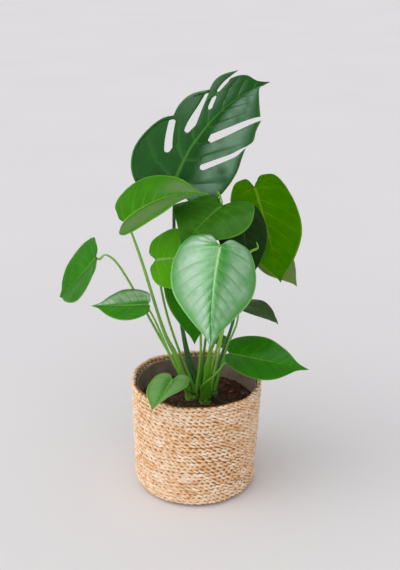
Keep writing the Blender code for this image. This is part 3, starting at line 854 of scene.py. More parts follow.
def scatter_tree() -> Tree:
    """Crumbs scattered over the upward faces of a mesh.

    Returns:
        The tree.
    """
    tree, given, output = new_tree(
        "crumbs_on_surface",
        ("Density", "Float", 30000.0),
        ("Smallest", "Float", 0.6 * MM),
        ("Largest", "Float", 2.2 * MM),
        ("Detail", "Int", 1),
        ("Seed", "Int", 3),
    )
    upward = add(tree, "ShaderNodeSeparateXYZ", None, {0: add(tree, "GeometryNodeInputNormal")})
    settings = {"data_type": "FLOAT", "operation": "GREATER_THAN"}
    top = add(tree, "FunctionNodeCompare", settings, {0: upward.outputs[2], 1: 0.55})
    links = {"Mesh": given[0], "Selection": top, "Density": given["Density"], "Seed": given["Seed"]}
    points = add(tree, "GeometryNodeDistributePointsOnFaces", {"distribute_method": "RANDOM"}, links)
    grain = add(tree, "GeometryNodeMeshIcoSphere", None, {"Radius": 1.0, "Subdivisions": given["Detail"]})
    links = {2: given["Smallest"], 3: given["Largest"], "Seed": 11}
    size = add(tree, "FunctionNodeRandomValue", {"data_type": "FLOAT"}, links)
    spread = {"data_type": "FLOAT_VECTOR"}
    turn = add(tree, "FunctionNodeRandomValue", spread, {0: (0, 0, 0), 1: (tau, tau, tau), "Seed": 17})
    links = {0: (0.7, 0.6, 0.5), 1: (1.5, 1.1, 0.9), "Seed": 23}
    stretch = add(tree, "FunctionNodeRandomValue", spread, links)
    scale = vector(tree, "SCALE", stretch, size.outputs[1])
    links = {"Points": points.outputs[0], "Instance": grain, "Rotation": turn, "Scale": scale}
    placed = add(tree, "GeometryNodeInstanceOnPoints", None, links)
    close_tree(tree, placed, given["Finish"], output)
    return tree


# ---------------------------------------------------------------- leaves


@dataclass(frozen=True)
class Slit:
    """A line between two strips of a half blade that tears open along parts of its run."""

    through: tuple
    gaps: tuple


@dataclass(frozen=True)
class Outline:
    """Half of a blade in its own plane, as shares of length and width."""

    strips: tuple
    slits: tuple = ()


@dataclass(frozen=True)
class Pose:
    """Angles of a midrib in degrees."""

    heading: float
    pitch: float
    roll: float


def rounded(points: np.ndarray, passes: int = 36) -> np.ndarray:
    """Rounds a line's corners without moving its ends.

    Args:
        points: one a row.
        passes: how often each point is averaged with its neighbours.

    Returns:
        The rounded line.
    """
    points = points.copy()
    for _ in range(passes):
        points[1:-1] = (points[:-2] + 2 * points[1:-1] + points[2:]) / 4
    return points


def heart(lobe: float, widest: float, drip: float) -> Outline:
    """Makes a heart-shaped half blade.

    Args:
        lobe: how far it reaches past the junction.
        widest: the share of the length at which it is widest.
        drip: the length of its drawn-out tip.

    Returns:
        The outline.
    """
    strip = (
        (-0.02, 0.05, 0.0),
        (-0.8 * lobe - 0.02, 0.2, 0.0),
        (-lobe, 0.42, 0.0),
        (-0.7 * lobe, 0.73, 0.0),
        (0.3 * widest, 0.95, 0.0),
        (widest, 1.0, 0.07),
        (widest + 0.22, 0.86, 0.22),
        (widest + 0.45, 0.48, 0.48),
        (1 - drip, 0.13, 0.8),
        (1.0, 0.0, 1.0),
    )
    return Outline(strips=(strip,))


SPLIT_LEFT = Outline(
    strips=(
        (
            (-0.02, 0.06, 0.0), (-0.13, 0.4, 0.0), (-0.11, 0.66, 0.0), (-0.03, 0.88, 0.0),
            (0.08, 0.97, 0.0), (0.2, 0.9, 0.0), (0.3, 0.77, 0.04), (0.35, 0.62, 0.09),
        ),
        ((0.35, 0.62, 0.09), (0.43, 0.67, 0.13), (0.52, 0.63, 0.17), (0.62, 0.45, 0.24)),
        ((0.62, 0.45, 0.24), (0.68, 0.54, 0.3), (0.75, 0.55, 0.36), (0.85, 0.47, 0.43)),
        (
            (0.77, 0.4, 0.43), (0.83, 0.37, 0.55), (0.88, 0.29, 0.7),
            (0.91, 0.13, 0.85), (0.95, 0.05, 0.93), (1.0, 0.0, 1.0),
        ),
    ),
    slits=(
        Slit(((0.14, 0.31), (0.33, 0.59)), (((0.36, 0.93), (12, 9), False),)),
        Slit(((0.29, 0.18), (0.5, 0.32)), (((0.25, 0.93), (14, 7), False),)),
        Slit(((0.53, 0.19), (0.66, 0.34)), (((0.25, 0.52), (6, 5), False), ((0.58, 1.0), (4, 6), True))),
    ),
)
SPLIT_RIGHT = Outline(
    strips=(
        (
            (-0.02, 0.06, 0.0), (-0.12, 0.4, 0.0), (-0.1, 0.7, 0.0), (0.01, 0.9, 0.0),
            (0.19, 0.99, 0.0), (0.32, 0.97, 0.02), (0.43, 0.89, 0.05), (0.52, 0.82, 0.09),
        ),
        ((0.54, 0.81, 0.09), (0.62, 0.82, 0.15), (0.7, 0.7, 0.23), (0.79, 0.59, 0.32)),
        ((0.8, 0.52, 0.32), (0.85, 0.26, 0.55), (0.895, 0.05, 0.85), (0.94, 0.025, 0.93), (1.0, 0.0, 1.0)),
    ),
    slits=(
        Slit(((0.13, 0.3), (0.35, 0.69)), (((0.25, 1.0), (9, 5), True),)),
        Slit(((0.33, 0.15), (0.52, 0.38)), (((0.16, 1.0), (12, 6), True),)),
    ),
)
BROAD = heart(lobe=0.12, widest=0.27, drip=0.1)
DEEP = heart(lobe=0.19, widest=0.24, drip=0.08)
OVAL = heart(lobe=0.04, widest=0.24, drip=0.15)
LONG = heart(lobe=0.1, widest=0.33, drip=0.08)


def over_soil(points: list | tuple, level: float = SOIL_LEVEL) -> list:
    """Turns points in millimetres over a level to metres.

    Args:
        points: across, towards the back and up.
        level: the height that up is counted from, metres.

    Returns:
        The points, as arrays.
    """
    return [np.array((x * MM, y * MM, level + up * MM)) for x, y, up in points]


@dataclass(frozen=True)
class Crown:
    """A short stem at the soil that carries a ring of petiole feet."""

    name: str
    place: tuple[float, float]
    feet: int
    foot_radius: float = 2.9 * MM
    foot_gap: float = 0.9 * MM
    root: float = 14 * MM

    def ring_radius(self) -> float:
        """Distance of the feet from the crown's axis."""
        return (2 * self.foot_radius + self.foot_gap) / (2 * sin(pi / self.feet))

    def foot(self, angle: float) -> np.ndarray:
        """Where a foot stands.

        Args:
            angle: its direction in degrees, 0 along +X.

        Returns:
            The point on the crown's top.
        """
        reach = self.ring_radius()
        x = self.place[0] * MM + reach * cos(radians(angle))
        y = self.place[1] * MM + reach * sin(radians(angle))
        return np.array((x, y, CROWN_TOP))

    def build(self, finish: Material) -> Piece:
        """Builds the stem stub, ringed by old leaf scars and domed on top.

        Args:
            finish: its material.

        Returns:
            The piece, riding on the pot.
        """
        radius = self.ring_radius() + self.foot_radius + 0.5 * MM
        low = SOIL_LEVEL - self.root
        profile: list = [(0, low), (radius * 0.8, low)]
        rows, scars, scar_depth = 14, 3.5, 0.35 * MM
        for step in range(rows + 1):
            share = step / rows
            scar = scar_depth * abs(sin(share * pi * scars)) ** 0.5
            height = low + 1.5 * MM + share * (CROWN_TOP - low - 2.5 * MM)
            profile.append((radius - scar_depth + scar, height))
        dome = ((0.93, -0.2), (0.7, 0.0), (0, 0.4))
        profile += [(radius * share, CROWN_TOP + rise * MM) for share, rise in dome]

        def lumpy(x: float, y: float, z: float) -> tuple[float, float, float]:
            """Moves a point of the profile to its lumpy place beside the crown's axis.

            Args:
                x: across.
                y: towards the back.
                z: height.

            Returns:
                The moved point.
            """
            swell = 1 + 0.05 * sin(3 * np.arctan2(y, x) + z * 500) if (x or y) else 1
            return (x * swell + self.place[0] * MM, y * swell + self.place[1] * MM, z)

        made = lathe(f"stem_{self.name}", profile, 40, [finish], lumpy)
        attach(made, "root")
        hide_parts(self.name)
        return made


@dataclass
class Leaf:
    """A blade and how it hangs, with the relief of its veins; sizes in millimetres."""

    name: str
    junction: tuple[float, float, float]
    pose: Pose
    gain: Pose
    fold: float
    curl: float
    length: float
    half_width: float
    outline: tuple[Outline, Outline]
    finish: LeafFinish
    level: float = SOIL_LEVEL
    thickness: float = 0.55
    pillow: float = 0.5
    ripple: float = 0.8
    slot: str = "leaf"
    columns: int = 20
    lobe_rows: int = 22
    body_rows: int = 46
    stations: int = 90

    def frame(self, share: float) -> tuple[np.ndarray, np.ndarray, np.ndarray]:
        """The midrib's directions.

        Args:
            share: place along the length.

        Returns:
            Forward, sideways and normal.
        """
        heading = radians(self.pose.heading + self.gain.heading * share)
        pitch = radians(self.pose.pitch + self.gain.pitch * share)
        roll = radians(self.pose.roll + self.gain.roll * max(share, 0))
        forward = np.array((cos(pitch) * cos(heading), cos(pitch) * sin(heading), sin(pitch)))
        level = np.array((-sin(heading), cos(heading), 0))
        sideways = level * cos(roll) + np.cross(forward, level) * sin(roll)
        return forward, sideways, np.cross(forward, sideways)

    def origin(self) -> np.ndarray:
        """Where the petiole joins the blade."""
        return over_soil([self.junction], self.level)[0]

    def settle(self) -> None:
        """Works out the midrib's path."""
        behind = -0.3  # the lobes reach behind the junction
        self.along = np.linspace(behind, 1, self.stations)
        frames = [self.frame(share) for share in self.along]
        self.sideways = np.array([f[1] for f in frames])
        self.normal = np.array([f[2] for f in frames])
        forward = np.array([f[0] for f in frames])
        step = (self.along[1] - self.along[0]) * self.length * MM
        middles = (forward[1:] + forward[:-1]) / 2 * step
        self.centre = np.vstack([np.zeros(3), np.cumsum(middles, axis=0)])
        self.centre += self.origin() - self.at(self.centre, np.zeros(1))[0]

    def at(self, values: np.ndarray, shares: np.ndarray) -> np.ndarray:
        """Interpolates a vector along the midrib.

        Args:
            values: one row for each station.
            shares: places along the length.

        Returns:
            One row for each share.
        """
        return np.stack([np.interp(shares, self.along, values[:, k]) for k in range(3)], -1)

    def place(self, flat: np.ndarray) -> np.ndarray:
        """Bends and folds flat points into space.

        Args:
            flat: share along the length, distance across in metres.

        Returns:
            Points in space.
        """
        shares = flat[:, 0]
        reach = np.abs(flat[:, 1])
        start = radians(self.fold)
        rate = radians(self.curl) / (self.half_width * MM)
        across = (np.sin(start + rate * reach) - sin(start)) / rate
        raised = (cos(start) - np.cos(start + rate * reach)) / rate
        # The fold is rounded over the midrib, 3 mm to each side.
        crease = 3 * MM
        soft = np.clip(1 - reach / crease, 0, 1) ** 2 * crease * 0.5 * np.tan(start)
        return (
            self.at(self.centre, shares)
            + self.at(self.sideways, shares) * (np.sign(flat[:, 1]) * across)[:, None]
            + self.at(self.normal, shares) * (raised + soft * 0.5)[:, None]
        )

    def shares(self, outline: Outline) -> np.ndarray:
        """Where the cells end between the midrib and the edge.

        Args:
            outline: the half blade.

        Returns:
            Shares from 0 to 1, closer at the midrib, the margin and the ends of slits.
        """
        ends = []
        for gap, _, is_open in (entry for slit in outline.slits for entry in slit.gaps):
            for step in (0, 0.004, 0.012, 0.026, 0.045):
                ends += [gap[0] + step] if is_open else [gap[0] + step, gap[1] - step]
        ends = sorted(ends)
        close = [share for n, share in enumerate(ends) if n == 0 or share - ends[n - 1] > 0.002]
        even = [0, 0.018, 0.04, 0.075, *np.linspace(0.12, 0.97, self.columns), 0.988, 1]
        apart = [share for share in even if all(abs(share - other) > 0.3 / self.columns for other in close)]
        return np.array(sorted({0.0, 1.0, *close, *apart}))

    @staticmethod
    def opening(slit: Slit, run: np.ndarray) -> np.ndarray:
        """Half the width of a slit along its run.

        Args:
            slit: the slit.
            run: shares of the way from the midrib to the edge.

        Returns:
            Half widths in metres.
        """
        half = np.zeros_like(run)
        nose = 0.055  # the share of the run over which an end is rounded
        for (start, end), (inner, outer), is_open in slit.gaps:
            share = np.clip((run - start) / (end - start), 0, 1)
            full = np.sqrt(1 - (1 - np.clip((run - start) / nose, 0, 1)) ** 2)
            if not is_open:
                full *= np.sqrt(1 - (1 - np.clip((end - run) / nose, 0, 1)) ** 2)
            half += np.where(run >= start, full * (inner + (outer - inner) * share) * MM / 2, 0)
        return half

    def slit_line(self, outline: Outline, index: int, run: np.ndarray) -> np.ndarray:
        """The middle of a slit in the flat plan.

        Args:
            outline: the half blade.
            index: which slit.
            run: shares of the way from the midrib to the edge.

        Returns:
            Points in metres.
        """
        size = np.array((self.length, self.half_width)) * MM
        before = outline.strips[index][-1]
        after = outline.strips[index + 1][0]
        edge = (np.array(before[:2]) + np.array(after[:2])) / 2 * size
        root = np.array((before[2], 0)) * size
        count = 120
        line = spline([root, *(np.array(p) * size for p in outline.slits[index].through), edge], count)
        even = np.linspace(0, 1, count)
        return np.stack([np.interp(run, even, line[:, 0]), np.interp(run, even, line[:, 1])], -1)

    def strip_edges(self, strip: tuple, roots: list) -> list:
        """Where each row of a strip meets the edge.

        Args:
            strip: the strip's outline points.
            roots: where rows start along the midrib.

        Returns:
            Rows of along, across, vein root and vein number.
        """
        samples = spline(strip, 160)
        split_strip = 8  # the most outline points that a strip of a split blade has
        if len(strip) > split_strip + 1:
            samples = rounded(samples)
        first_root, last_root = strip[0][2], strip[-1][2]
        lobe = samples[samples[:, 2] <= 0] if first_root == 0 else samples[:1]
        picks = np.linspace(0, len(lobe) - 1, self.lobe_rows) if len(lobe) > 1 else [0]
        edges = []
        for number, pick in enumerate(picks):
            vein = -0.42 * (1 - number / (len(picks) - 1)) if len(picks) > 1 else first_root
            edges.append((*lobe[int(round(pick))], vein))
        for root in roots:
            if first_root < root < last_root:
                point = [np.interp(root, samples[:, 2], samples[:, k]) for k in range(3)]
                edges.append((*point, root))
        edges.append((*samples[-1], last_root))
        return edges

    def rows(self, outline: Outline, roots: list) -> list:
        """Rows of flat points from the midrib to the edge, strip by strip.

        Args:
            outline: the half blade.
            roots: where rows start along the midrib.

        Returns:
            For each strip, its points by row and column, and each row's vein number.
        """
        size = np.array((self.length, self.half_width)) * MM
        run = self.shares(outline)
        found = []
        for index, strip in enumerate(outline.strips):
            edges = self.strip_edges(strip, roots)
            lines = []
            for edge in edges:
                start = np.array((max(edge[2], 0), 0)) * size
                line = start + (np.array(edge[:2]) * size - start) * run[:, None]
                # Veins set off steeply and turn towards the tip before the margin.
                bow = -0.035 * self.length * MM * min(1, max(edge[2], 0) * 6) * (1 - max(edge[2], 0))
                line[:, 0] += bow * 4 * run * (1 - run)
                lines.append(line)
            places = np.linspace(0, 1, len(lines))
            for slit, end, sign in ((index - 1, 0, 1), (index, -1, -1)):
                if not 0 <= slit < len(outline.slits):
                    continue
                middle = self.slit_line(outline, slit, run)
                ahead = np.gradient(middle, axis=0)
                aside = np.stack([ahead[:, 1], -ahead[:, 0]], -1)
                aside /= np.linalg.norm(aside, axis=1)[:, None]
                target = middle + aside * (sign * self.opening(outline.slits[slit], run))[:, None]
                tail = np.clip((run - 0.8) / 0.2, 0, 1)[:, None]
                target += (lines[end][-1] - target[-1]) * tail
                change = target - lines[end]
                for number, place in enumerate(places):
                    near = 1 - place if end == 0 else place
                    lines[number] = lines[number] + change * max(0, near * 2 - 1)
            found.append((lines, [edge[3] for edge in edges], run))
        return found

    def relief(self, vein: np.ndarray, across: np.ndarray, reach: np.ndarray) -> tuple:
        """How the tissue rises between its veins.

        Args:
            vein: vein number of each point.
            across: share of the way to the edge.
            reach: distance from the midrib in metres.

        Returns:
            Heights of the upper and under faces along the normal, metres.
        """
        away = np.abs(((vein * self.finish.vein_count) + 0.5) % 1 - 0.5) * 2
        fade = np.clip(across * 5, 0, 1) * np.clip((1 - across) * 3.5, 0, 1)
        usual_length, rib_width, ridge_height, ridge_width = 130, 1.3 * MM, 0.35 * MM, 0.16
        scale = self.length / usual_length * MM
        pillow = self.pillow * scale * fade * np.sqrt(np.clip(away, 0, 1))
        rib = np.exp(-((reach / rib_width) ** 2)) * np.clip(1.05 - vein, 0, 1)
        wave = np.sin(vein * tau * 1.6 + self.length) + 0.4 * np.sin(vein * tau * 3.3 + self.half_width)
        ripple = self.ripple * scale * across**3 * wave * np.clip((1 - vein) * 4, 0, 1)
        ridge = ridge_height * fade * np.exp(-((away / ridge_width) ** 2))
        return pillow + ripple - rib * 0.45 * MM, pillow * 0.6 + ripple - ridge - rib * 0.9 * MM

    def build(self, upper: Material, under: Material) -> Piece:
        """Builds the blade as a closed sheet.

        Args:
            upper: finish of its upper face.
            under: finish of its under face.

        Returns:
            The piece, riding on the pot.
        """
        self.settle()
        slit_roots = {strip[-1][2] for half in self.outline for strip in half.strips}
        even = {k / self.body_rows for k in range(1, self.body_rows)}
        clear = {root for root in even if min(abs(root - slit) for slit in slit_roots) > 0.3 / self.body_rows}
        roots = sorted(slit_roots | clear)
        flat: list = []
        vein_of: list = []
        share_of: list = []
        found: dict = {}
        faces: list = []
        corners_uv: list = []
        for outline, side in zip(self.outline, (1, -1)):
            for lines, veins, run in self.rows(outline, roots):
                ids = []
                for line, vein in zip(lines, veins):
                    row = []
                    for point, share in zip(line, run):
                        key = (round(point[0] * 1e6), round(side * point[1] * 1e6))
                        if key not in found:
                            found[key] = len(flat)
                            flat.append((point[0] / (self.length * MM), side * point[1]))
                            vein_of.append(vein)
                            share_of.append(share)
                        row.append(found[key])
                    ids.append(row)
                for n in range(len(ids) - 1):
                    for c in range(len(run) - 1):
                        quad = [
                            (ids[n][c], veins[n], run[c]),
                            (ids[n][c + 1], veins[n], run[c + 1]),
                            (ids[n + 1][c + 1], veins[n + 1], run[c + 1]),
                            (ids[n + 1][c], veins[n + 1], run[c]),
                        ]
                        if side > 0:
                            quad.reverse()
                        kept = [q for k, q in enumerate(quad) if q[0] not in [p[0] for p in quad[:k]]]
                        if len(kept) > 2:
                            faces.append(tuple(q[0] for q in kept))
                            corners_uv.append([(q[1], side * q[2]) for q in kept])
        flat_points = np.array(flat)
        points = self.place(flat_points)
        normals = self.point_normals(points, faces)
        top, bottom = self.relief(np.array(vein_of), np.array(share_of), np.abs(flat_points[:, 1]))
        half = self.thickness * MM / 2
        raised = points + normals * (half + top)[:, None]
        lowered = points + normals * (bottom - half)[:, None]
        return self.close(np.vstack([raised, lowered]), faces, corners_uv, [upper, under])

    @staticmethod
    def point_normals(points: np.ndarray, faces: list) -> np.ndarray:
        """Averages face normals at the points.

        Args:
            points: the sheet's points.
            faces: its faces.

        Returns:
            A unit normal for each point.
        """
        normals = np.zeros_like(points)
        for face in faces:
            a, b, c = (points[k] for k in face[:3])
            normal = np.cross(b - a, c - a)
            if len(face) == 4:
                normal = np.cross(c - a, points[face[3]] - b)
            for corner in face:
                normals[corner] += normal
        return normals / np.maximum(np.linalg.norm(normals, axis=1), 1e-12)[:, None]

    def close(self, vertices: np.ndarray, faces: list, corners_uv: list, finishes: list) -> Piece:
        """Joins the two faces of the sheet round its edge.

        Args:
            vertices: upper points, then as many under points.
            faces: the upper faces.
            corners_uv: vein number and signed share across at each corner of each face.
            finishes: the material of the upper face and the edge, and that of the under face.

        Returns:
            The piece, riding on the pot.
        """
        count = len(vertices) // 2
        solid = list(faces)
        marks = [list(uv) for uv in corners_uv]
        slots = [0] * len(faces)
        for face, uv in zip(faces, corners_uv):
            solid.append(tuple(count + k for k in face[::-1]))
            marks.append(list(uv[::-1]))
            slots.append(1)
        edges: dict = {}
        for face, uv in zip(faces, corners_uv):
            for k, a in enumerate(face):
                b = face[(k + 1) % len(face)]
                edges[(a, b)] = (uv[k], uv[(k + 1) % len(face)])
        for (a, b), (mark_a, mark_b) in edges.items():
            if (b, a) not in edges:
                solid.append((b, a, count + a, count + b))
                rim = [(mark[0], 1.0 if mark[1] > 0 else -1.0) for mark in (mark_b, mark_a, mark_a, mark_b)]
                marks.append(rim)
                slots.append(0)
        made = new_object(f"leaf_{self.name}", vertices, solid, finishes)
        made.data.polygons.foreach_set("material_index", slots)
        layer = made.data.uv_layers.new(name=UV_NAME)
        layer.data.foreach_set("uv", [value for uv in marks for mark in uv for value in mark])
        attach(made, "root")
        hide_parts(f"blade_{self.name}")
        return made


@dataclass
class Petiole:
    """A leaf stalk from a foot on a crown to the back of a blade."""

    leaf: Leaf
    crown: Crown
    foot_angle: float
    through: tuple
    stance: Stance = Stance.BELOW
    girth: float = 1.0
    sheath: float = 60.0
    thick: float = 1.15
    finish: StalkFinish | None = None

    def path(self) -> tuple[np.ndarray, np.ndarray]:
        """The stalk's middle line and its radii.

        Returns:
            Points and radii, metres.
        """
        _, _, normal = self.leaf.frame(0)
        away = normal * self.stance.value
        end = self.leaf.origin()
        foot = self.crown.foot(self.foot_angle)
        via = over_soil(self.through)
        upright, straight, sunk = np.array((0, 0, 4 * MM)), 6 * MM, np.array((0, 0, 10 * MM))
        line = spline([foot, foot + upright, *via, end + away * straight, end], 90)
        line[0] -= sunk
        share = np.linspace(0, 1, len(line))
        run = np.concatenate([[0], np.cumsum(np.linalg.norm(np.diff(line, axis=0), axis=1))])
        low = np.clip(1 - run / (self.sheath * MM), 0, 1)
        left = run[-1] - run
        middle, taper, foot_radius = 1.75, 0.35, 2.9
        radii = middle * MM - taper * MM * share
        radii = radii + (foot_radius * self.girth - middle) * MM * low**1.1
        # The last centimetre is the swollen joint that turns the blade to the light.
        swelling, joint, spread = 0.45 * MM, 7 * MM, 4 * MM
        radii += swelling * np.exp(-(((left - joint) / spread) ** 2))
        # The extra thickness fades over the last 60 mm, so the joint fits the blade.
        slender = np.clip(left / (60 * MM), 0, 1)
        return line, radii * (1 + (self.thick - 1) * slender)

    def build(self, tree: Tree, finish: Material) -> Piece:
        """Sweeps the stalk.

        Args:
            tree: the stalk tree.
            finish: its material.

        Returns:
            The piece, riding on the pot.
        """
        line, radii = self.path()
        host = curve_object(f"path_{self.leaf.name}", line, radii)
        values = {"Sides": 16, "Sheath Length": self.sheath * MM, "Wing": 0.3, "Channel": 0.5}
        made = grow(host, tree, {**values, "Finish": finish}, f"stalk_{self.leaf.name}")
        face_outwards(made)
        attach(made, "root")
        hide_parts(f"petiole_{self.leaf.name}")
        return made


@dataclass
class Spear:
    """The youngest leaf, still rolled, with a hooked tip and a seam where the blade laps over itself."""

    crown: Crown
    through: tuple
    turns: float = 1.4

    def build(self, finish: Material) -> Piece:
        """Builds the rolled leaf on its stalk.

        Args:
            finish: its material.

        Returns:
            The piece, riding on the pot.
        """
        foot = self.crown.foot(0)
        via = over_soil(self.through)
        line = spline([foot, foot + np.array((0, 0, 4 * MM)), *via], 120)
        share = np.linspace(0, 1, len(line))
        places, swells = (0, 0.12, 0.3, 0.74, 0.87, 0.95, 1), (3.0, 2.3, 1.7, 1.5, 2.5, 1.5, 0.45)
        radii = np.interp(share, places, swells) * MM
        ahead = np.gradient(line, axis=0)
        ahead /= np.linalg.norm(ahead, axis=1)[:, None]
        aside = np.array((1.0, 0, 0))
        sides = 24
        vertices: list = []
        for n, (centre, forward, radius) in enumerate(zip(line, ahead, radii)):
            aside = aside - forward * aside.dot(forward)
            aside /= np.linalg.norm(aside)
            across = np.cross(forward, aside)
            lap = np.clip((share[n] - 0.74) / 0.06, 0, 1)
            for side in range(sides):
                turn = tau * side / sides
                # The outer edge of the roll steps up by a fifth of the radius and winds round the leaf.
                step = ((turn / tau + share[n] * self.turns * 3) % 1) * 0.24 * lap
                reach = radius * (0.9 + step)
                vertices.append(centre + (aside * cos(turn) + across * sin(turn)) * reach)
        faces = [tuple(range(sides))[::-1]]
        for ring in range(len(line) - 1):
            for side in range(sides):
                after = (side + 1) % sides
                low = ring * sides
                faces.append((low + side, low + after, low + sides + after, low + sides + side))
        faces.append(tuple(range(len(vertices) - sides, len(vertices))))
        made = new_object("rolled_leaf", vertices, faces, [finish])
        face_outwards(made)
        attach(made, "root")
        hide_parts("spear_leaf")
        return made


# ---------------------------------------------------------------- pot


@dataclass
class Basket:
    """A hand-coiled basket: seagrass cord wound in a spiral from the middle of its floor up to its rim."""

    height: float = 170 * MM
    rim_radius: float = 95 * MM
    base_radius: float = 89 * MM
    wall: float = 7 * MM
    edge: float = 15 * MM
    row: float = 5.9 * MM
    ply: float = 1.6 * MM
    lay: float = 17 * MM
    lean: float = -5.0 * MM
    clearance: float = 0.3 * MM

    def cord_radius(self) -> float:
        """Half the thickness of the whole cord."""
        return 2 * self.ply

    def lean_at(self, x: np.ndarray, y: np.ndarray, z: np.ndarray) -> np.ndarray:
        """Leans and dents the basket by hand-made amounts.

        Args:
            x: across.
            y: towards the back.
            z: height.

        Returns:
            The moved points, one a row.
        """
        turn = np.arctan2(y, x)
        high = z / self.height
        # Under one part in a hundred out of round, and a rim that waves by less than a millimetre.
        swell = 1 + 0.008 * np.sin(2 * turn + 0.6 + 2 * high) + 0.006 * np.sin(3 * turn + 5 * high)
        shift = self.lean * (1 - high) * np.clip(z / (20 * MM), 0, 1)
        wave = 0.9 * MM * np.sin(5 * turn + 1.2) * high**6 + 0.5 * MM * np.sin(11 * turn) * high**6
        return np.column_stack([x * swell + shift, y * swell, z + wave])

    def wall_path(self) -> np.ndarray:
        """The cord's middle line from the turned-under edge up to the rim.

        Returns:
            Points in metres, one a row.
        """
        radius = self.cord_radius()
        low, high = radius + self.clearance, self.height - radius - 0.9 * MM
        turns = (high - low) / self.row
        steps = int(turns * 72)
        share = np.linspace(0, 1, steps)
        z = low + (high - low) * share
        turn = share * turns * tau
        reach = np.interp(z, (self.edge, self.height), (self.base_radius, self.rim_radius))
        under = np.clip(self.edge - z, 0, self.edge)
        reach = reach - (self.edge - np.sqrt(self.edge**2 - under**2)) - radius
        reach = reach + 0.4 * MM * np.sin(5.3 * turn) + 0.3 * MM * np.sin(13.7 * turn + 1)
        z = z + 0.35 * MM * np.sin(3.7 * turn + 2) * np.sin(pi * share)
        return self.lean_at(reach * np.cos(turn), reach * np.sin(turn), z)

    def floor_path(self) -> np.ndarray:
        """The cord's middle line from the middle of the floor to the turned-under edge.

        Returns:
            Points in metres, one a row.
        """
        radius = self.cord_radius()
        last = self.base_radius - self.edge
        turns = last / self.row
        steps = int(turns * 60)
        share = np.linspace(0.004, 1, steps)
        turn = share * turns * tau
        reach = last * share
        height = np.full(steps, radius + self.clearance)
        return np.column_stack([reach * np.cos(turn), reach * np.sin(turn), height])

    def core(self, finish: Material) -> Piece:
        """The jute core between the rows, which closes the gaps; its dark brown is painted shade of those
        gaps.

        Args:
            finish: its material.

        Returns:
            The piece.
        """
        middle = self.cord_radius()
        inner = self.wall - middle
        profile: list = [(0, middle - 0.6 * MM)]
        for step in range(7):
            turn = pi / 2 * step / 6
            reach = self.base_radius - self.edge + (self.edge - middle) * sin(turn)
            profile.append((reach, self.edge - (self.edge - middle + 0.6 * MM) * cos(turn)))
        top = self.height - 5 * MM
        outer = np.interp(top, (self.edge, self.height), (self.base_radius, self.rim_radius))
        profile.append((outer - middle, top))
        profile.append((profile[-1][0] - inner * 0.5, top))
        profile.append((self.base_radius - middle - inner * 0.5, self.edge))
        profile.append((self.base_radius - self.edge, middle + 1.2 * MM))
        profile.append((0, middle + 1.2 * MM))

        def leaned(x: float, y: float, z: float) -> tuple:
            """Moves a point with the basket's lean."""
            return tuple(self.lean_at(np.array([x]), np.array([y]), np.array([z]))[0])

        return lathe("basket_core", profile, 96, [finish], leaned)

    def build(self, rope: Tree, cord: Material, core: Material) -> list:
        """Winds the basket.

        Args:
            rope: the rope tree.
            cord: the cord's material.
            core: the core's material.

        Returns:
            Its pieces, riding on the pot.
        """
        pieces = []
        values = {"Plies": 2, "Lay Length": self.lay, "Ply Radius": self.ply, "Step": 2.3 * MM, "Sides": 6}
        values["Finish"] = cord
        for name, path in (("basket_wall_cord", self.wall_path()), ("basket_floor_cord", self.floor_path())):
            host = curve_object(f"path_{name}", path, np.ones(len(path)))
            pieces.append(grow(host, rope, values, name))
        pieces.append(self.core(core))
        for piece in pieces:
            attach(piece, "root")
        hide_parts("basket")
        return pieces


@dataclass
class Liner:
    """The thin plastic nursery pot that stands in the basket, with a rolled lip."""

    basket: Basket
    wall: float = 0.9 * MM
    drop: float = 9 * MM

    def inner(self, height: float) -> float:
        """Radius of the basket's inner face.

        Args:
            height: over the floor.

        Returns:
            The radius in metres.
        """
        pot = self.basket
        slope = (pot.rim_radius - pot.base_radius) / (pot.height - pot.edge)
        return pot.rim_radius - pot.wall - slope * (pot.height - pot.wall / 2 - height)

    def build(self, finish: Material) -> Piece:
        """Builds the liner.

        Args:
            finish: its material.

        Returns:
            The piece, riding on the pot.
        """
        pot = self.basket
        gap = 0.5 * MM
        foot = pot.wall + 0.3 * MM
        lip = pot.height - self.drop
        reach = self.inner(foot) - gap
        profile: list = [(0, foot), (reach - 2 * MM, foot), (reach, foot + 2 * MM)]
        for step in range(1, 12):
            height = foot + 2 * MM + (lip - foot - 4 * MM) * step / 12
            profile.append((self.inner(height) - gap, height))
        centre = self.inner(lip) - gap - self.wall / 2
        for step in range(9):
            turn = pi * step / 8
            bead = self.wall * 0.9
            profile.append((centre + bead * cos(turn), lip - self.wall + bead * sin(turn)))
        for step in range(12, -1, -1):
            height = foot + self.wall + (lip - foot - 4 * MM) * step / 12
            profile.append((self.inner(height) - gap - self.wall, height))
        profile.append((0, foot + self.wall))

        def buckled(x: float, y: float, z: float) -> tuple:
            """Moves a point with the basket, and buckles the thin wall a little above the soil.

            Args:
                x: across.
                y: towards the back.
                z: height.

            Returns:
                The moved point.
            """
            turn = np.arctan2(y, x)
            free = np.clip((z - SOIL_LEVEL + 0.01) / 0.03, 0, 1)
            give = 1 - 0.006 * free * (1 + np.sin(5 * turn + 0.8)) - 0.004 * free
            return tuple(pot.lean_at(np.array([x * give]), np.array([y * give]), np.array([z]))[0])

        made = lathe("liner_wall", profile, 144, [finish], buckled)
        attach(made, "root")
        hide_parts("liner")
        return made


